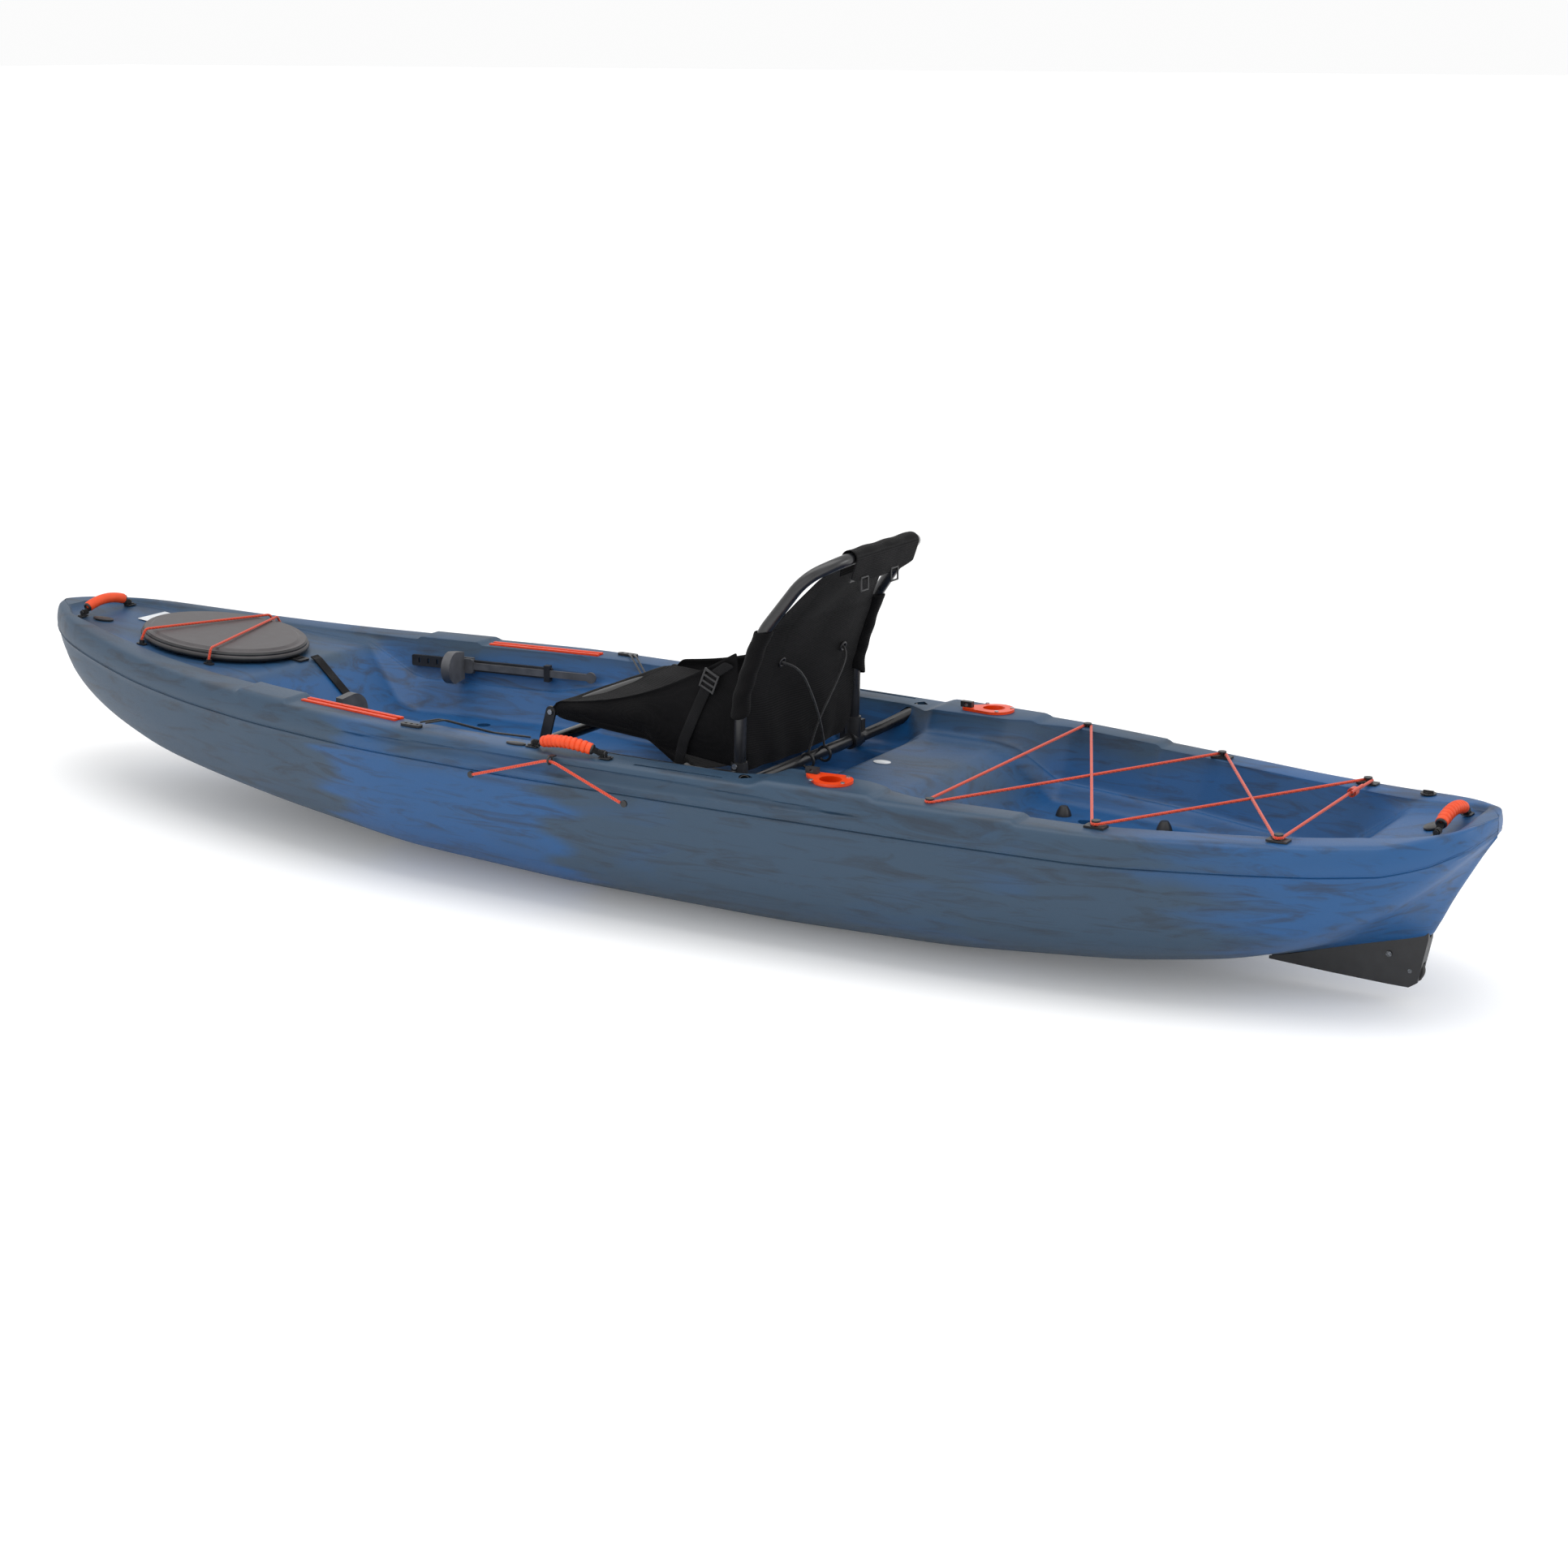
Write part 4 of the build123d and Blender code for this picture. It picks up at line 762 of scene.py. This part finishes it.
def strap(name, route, width_along, width, thick=1.6):
    """Webbing laid through route, width wide along the direction width_along."""
    reach = Vector(width_along).normalized() * width / 2

    def at(along, across):
        position = along * (len(route) - 1)
        i = min(int(position), len(route) - 2)
        point = Vector(route[i]).lerp(Vector(route[i + 1]), position - i)
        return tuple(point + reach * (2 * across - 1))

    piece = cloth(name, at, 6 * (len(route) - 1), 2, thick)
    dress(piece, webbing)
    return piece


def cord_curve(name, points, radius, material):
    """A cord on one smooth NURBS line through its route's points."""
    curve = bpy.data.curves.new(name, "CURVE")
    curve.dimensions = "3D"
    curve.bevel_depth = radius * MM
    curve.bevel_resolution = 4
    curve.use_fill_caps = True
    spline = curve.splines.new("NURBS")
    spline.points.add(len(points) - 1)
    for made, point in zip(spline.points, points):
        made.co = (*[v * MM for v in point], 1)
    spline.order_u = 3
    spline.use_endpoint_u = True
    spline.resolution_u = 10
    piece = bpy.data.objects.new(name, curve)
    bpy.context.collection.objects.link(piece)
    dress(piece, material)
    return piece


def ring_at(name, place, normal, radius, thickness, material):
    """A moulded ring standing square to normal."""
    turn = Vector((0, 0, 1)).rotation_difference(Vector(normal)).to_euler()
    bpy.ops.mesh.primitive_torus_add(
        location=[c * MM for c in place], rotation=turn, major_radius=radius * MM, minor_radius=thickness * MM,
        major_segments=40, minor_segments=12,
    )
    ring = bpy.context.object
    ring.name = name
    settle(ring)
    smooth(ring, 60)
    dress(ring, material)
    return ring


seat_cover = cloth("seat_cover", seat_cover_at, 46, 72)
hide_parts("seat_sling")
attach(seat_cover, "hull")

back_panel = cloth("back_panel", back_panel_at, 56, 60)
back_flap = cloth("back_flap", flap_at, 40, 44)
back_sleeves = [
    cloth(f"{hand}_back_sleeve", sleeve_at(side), 26, 36, closed=True) for side, hand in ((-1, "port"), (1, "starboard"))
]
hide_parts("back_sling")
for piece in (back_panel, back_flap, *back_sleeves):
    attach(piece, "seat_back")

for side, hand in ((-1, "port"), (1, "starboard")):
    wing = cloth(f"{hand}_wing", wing_at(side), 52, 30)
    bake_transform(wing)
    lift = strap(
        f"{hand}_lift_strap",
        [(172, side * 240, 296), (190, side * 244, 360), (226, side * 241, 440), (256, side * 240, 500),
         (300, side * 241, 530)],
        (1, 0, -0.3), 25,
    )
    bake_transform(lift)
    bars = []
    for row in (-17, -6, 6, 17):
        bars.append(place_block((30, 4, 5), (252 + row * 0.35, side * 242.4, 490 + row), (0, radians(25), 0)))
    for column in (-15, 15):
        bars.append(place_block((4.5, 4.6, 42), (252 + column, side * 242.4, 490 - column * 0.45), (0, radians(22), 0)))
    pick(bars[0])
    for bar in bars:
        bar.select_set(True)
    bpy.ops.object.join()
    buckle = bpy.context.object
    buckle.name = f"{hand}_ladder_buckle"
    rounding = buckle.modifiers.new("edge", "BEVEL")
    rounding.width = 0.001
    rounding.segments = 2
    bpy.ops.object.modifier_apply(modifier=rounding.name)
    dress(buckle, black_nylon)
    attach(buckle, "seat_back")

# two thin cords cross behind the back, from the grommets to the rear bar
CROSS_CORDS = {
    "port_cross_cord": [(348, -122, 517), (362, -112, 512), (372, -84, 492), (368, -40, 440), (352, 20, 372), (336, 62, 318),
                        (331, 74, 297)],
    "starboard_cross_cord": [(348, 120, 505), (361, 112, 498), (368, 92, 476), (362, 60, 430), (350, 22, 372), (338, 8, 318),
                             (331, 6, 292)],
}
for name, route in CROSS_CORDS.items():
    piece = cord_curve(name, route, 2.4, black_cord)
    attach(piece, "seat_back")
    grommet = ring_at(name.replace("cord", "grommet"), route[0], (1, 0, -0.35), 8.5, 2.6, black_nylon)
    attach(grommet, "seat_back")
    catch = ring_at(name.replace("cord", "catch"), (331, route[-1][1], 281), (0, 1, 0), 15.0, 3.0, black_nylon)
    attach(catch, "seat_back")

# a square ring hangs at each end of the head flap's hem
for hand, y in (("port", -74), ("starboard", 46)):
    bars = [place_block((3.2, 30, 3.6), (510, y, 686 + row), (0, 0, 0)) for row in (-13, 13)]
    bars += [place_block((3.2, 3.6, 29), (510, y + column, 686), (0, 0, 0)) for column in (-13.5, 13.5)]
    pick(bars[0])
    for bar in bars:
        bar.select_set(True)
    bpy.ops.object.join()
    square = bpy.context.object
    square.name = f"{hand}_flap_ring"
    rounding = square.modifiers.new("edge", "BEVEL")
    rounding.width = 0.0009
    rounding.segments = 2
    bpy.ops.object.modifier_apply(modifier=rounding.name)
    dress(square, black_nylon)
    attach(square, "seat_back")

# the lid's black rolled rims, one over the other
HATCH_TURN = (0, radians(5), 0)
for name, long, wide, height, thick in (("lid_lower_rim", 207, 165, 12, 5.5), ("lid_upper_rim", 204, 162, 21, 4)):
    place = Vector((-1268 + sin(radians(5)) * height, 0, 350.3 + cos(radians(5)) * height)) * MM
    bpy.ops.mesh.primitive_torus_add(major_radius=0.1, minor_radius=thick * MM, major_segments=120, minor_segments=16)
    rim = bpy.context.object
    rim.name = name
    for vertex in rim.data.vertices:
        ring_angle = Vector((vertex.co.x, vertex.co.y)).normalized()
        out = Vector((vertex.co.x, vertex.co.y)).length - 0.1
        vertex.co.x = ring_angle.x * (long * MM + out)
        vertex.co.y = ring_angle.y * (wide * MM + out)
    rim.rotation_euler = HATCH_TURN
    rim.location = place
    settle(rim)
    smooth(rim, 60)
    dress(rim, black_nylon)
    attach(rim, "hatch")

# ---------------------------------------------------------------- carry handles
def swept(name, centre_at, radius_at, rings, sides, material):
    """A round piece swept along centre_at(share), with its radius from radius_at(share) and its ends closed."""
    points, faces = [], []
    for r in range(rings + 1):
        share = r / rings
        here = Vector(centre_at(share))
        ahead = (Vector(centre_at(min(1, share + 0.01))) - Vector(centre_at(max(0, share - 0.01)))).normalized()
        across = ahead.cross(Vector((0, 0, 1))).normalized()
        up = across.cross(ahead)
        for c in range(sides):
            turn = 2 * pi * c / sides
            points.append(tuple((here + radius_at(share) * (cos(turn) * across + sin(turn) * up)) * MM))
    for r in range(rings):
        for c in range(sides):
            d = (c + 1) % sides
            faces.append((r * sides + c, r * sides + d, (r + 1) * sides + d, (r + 1) * sides + c))
    faces += [tuple(reversed(range(sides))), tuple(range(rings * sides, (rings + 1) * sides))]
    mesh = bpy.data.meshes.new(name)
    mesh.from_pydata(points, [], faces)
    piece = bpy.data.objects.new(name, mesh)
    bpy.context.collection.objects.link(piece)
    pick(piece)
    bpy.ops.object.mode_set(mode="EDIT")
    bpy.ops.mesh.select_all(action="SELECT")
    bpy.ops.mesh.normals_make_consistent(inside=False)
    bpy.ops.object.mode_set(mode="OBJECT")
    smooth(piece, 50)
    dress(piece, material)
    return piece


# middle, direction, half the grip's length, rise at its middle
HANDLES = {
    "bow": ((-1650, 0, 404), (0, 1, 0), 60, (0, 0, 11)),
    "stern": ((1697, 0, 369), (0, 1, 0), 62, (0, 0, 11)),
    "port": ((13, -396, 359), (1, 0, 0), 60, (0, -8, 9)),
    "starboard": ((13, 396, 359), (1, 0, 0), 60, (0, 8, 9)),
}


def grip_line(name):
    """The middle line of a handle's grip."""
    centre, along, half, rise = [Vector(v) if isinstance(v, tuple) else v for v in HANDLES[name]]

    def at(share):
        reach = 2 * share - 1
        return tuple(centre + along * half * reach + rise * (1 - reach * reach))

    return at


def ribbed(share):
    """Nine finger ribs between plain ends."""
    if share < 0.09 or share > 0.91:
        return 11.8 - 3.2 * step_up(abs(share - 0.5), 0.485, 0.5)
    return 8.8 + 4.2 * abs(sin(pi * 9 * (share - 0.09) / 0.82)) ** 0.5


def plain(share):
    return 12.2 - 2.6 * step_up(abs(share - 0.5), 0.475, 0.5)


for name in HANDLES:
    grip = swept(f"{name}_grip", grip_line(name), plain if name == "bow" else ribbed, 30 if name == "bow" else 120, 32,
                 orange_rubber)
    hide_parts(f"{name}_handle_grip")
    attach(grip, f"{name}_handle")
    for end, where in ((0.0, "first"), (1.0, "second")):
        place = grip_line(name)(end)
        beyond = grip_line(name)(0.02 if end == 0 else 0.98)
        cap = ring_at(f"{name}_grip_{where}_cap", place, Vector(place) - Vector(beyond), 7.4, 3.4, black_nylon)
        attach(cap, f"{name}_handle")


def plate(name, size, place, turn, material, round_by):
    """A thin blank plate with rounded corners."""
    bpy.ops.mesh.primitive_cube_add(size=1, location=[c * MM for c in place], rotation=turn)
    made = bpy.context.object
    made.name = name
    made.scale = [c * MM for c in size]
    settle(made)
    bpy.ops.object.mode_set(mode="EDIT")
    bpy.ops.mesh.select_all(action="SELECT")
    bpy.ops.mesh.bevel(offset=round_by * MM, segments=5, affect="EDGES")
    bpy.ops.object.mode_set(mode="OBJECT")
    smooth(made, 40)
    dress(made, material)
    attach(made, "hull")
    return made


def disc(name, half_long, half_wide, thick, place, turn, material):
    """A thin oval badge with a rounded edge, left blank."""
    bpy.ops.mesh.primitive_cylinder_add(radius=1, depth=1, vertices=64, location=[c * MM for c in place], rotation=turn)
    made = bpy.context.object
    made.name = name
    made.scale = (half_long * MM, half_wide * MM, thick * MM)
    settle(made)
    bpy.ops.object.mode_set(mode="EDIT")
    bpy.ops.mesh.select_all(action="DESELECT")
    bpy.ops.mesh.select_mode(type="FACE")
    bpy.ops.object.mode_set(mode="OBJECT")
    for face in made.data.polygons:
        face.select = abs(face.normal.z) > 0.8
    bpy.ops.object.mode_set(mode="EDIT")
    bpy.ops.mesh.inset(thickness=0.0015)
    bpy.ops.mesh.inset(thickness=0.0008, depth=0.0006)
    bpy.ops.object.mode_set(mode="OBJECT")
    smooth(made, 40)
    dress(made, material)
    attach(made, "hull")
    return made


disc("bow_badge", 26, 15, 3, (-1598, -62, 382), (0, radians(6), radians(15)), black_nylon)
disc("stern_badge", 17, 30, 3, (1664, 0, 344.5), (0, radians(-9), 0), black_nylon)
disc("hump_sticker", 19, 13, 1.2, (512, 0, 305), (0, 0, 0), white_film)
disc("port_gunwale_badge", 24, 10, 3, (-119, -392, 345), (0, 0, 0), black_nylon)
plate("bow_label", (30, 92, 1.0), (-1532, 46, 375.6), (0, radians(6), 0), white_film, 0.45)
for x, y in ((840, 171), (1060, 176), (840, -171), (1060, -176)):
    peg = swept(f"well_peg_{x}_{'p' if y < 0 else 's'}", lambda s, x=x, y=y: (x + 0.01 * s, y, 193 + 26 * s),
                lambda s: 17 - 9 * s * s, 12, 28, black_nylon)
    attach(peg, "hull")

# ---------------------------------------------------------------- studio
bpy.ops.mesh.primitive_plane_add(size=240, location=(0, 0, -0.0005))
floor = bpy.context.object
floor.name = "studio_floor"
paper, paper_tree, paper_surface, paper_place = start_material("white_paper_sweep", Roughness=0.9)
paper_surface.inputs["Base Color"].default_value = colour("#fbfbfb")
paper_surface.inputs["Emission Color"].default_value = colour("#ffffff")
paper_surface.inputs["Emission Strength"].default_value = 0.11
dress(floor, paper)

world = bpy.data.worlds.new("studio_light") if not bpy.context.scene.world else bpy.context.scene.world
bpy.context.scene.world = world
world.use_nodes = True
world.node_tree.nodes["Background"].inputs["Color"].default_value = colour("#ffffff")
world.node_tree.nodes["Background"].inputs["Strength"].default_value = 0.97


def softbox(name, place, aim, size, power):
    bpy.ops.object.light_add(type="AREA", location=place)
    light = bpy.context.object
    light.name = name
    light.data.shape = "RECTANGLE"
    light.data.size, light.data.size_y = size
    light.data.energy = power
    light.rotation_euler = (Vector(aim) - Vector(place)).to_track_quat("-Z", "Y").to_euler()


softbox("overhead_softbox", (0.2, -0.6, 3.6), (0.2, 0, 0.2), (4.5, 2.0), 54)
softbox("near_softbox", (0.5, -4.0, 1.8), (0.2, 0, 0.25), (4.0, 1.4), 9)
softbox("stern_softbox", (4.4, 0.8, 1.6), (1.6, 0, 0.3), (1.6, 1.6), 24)
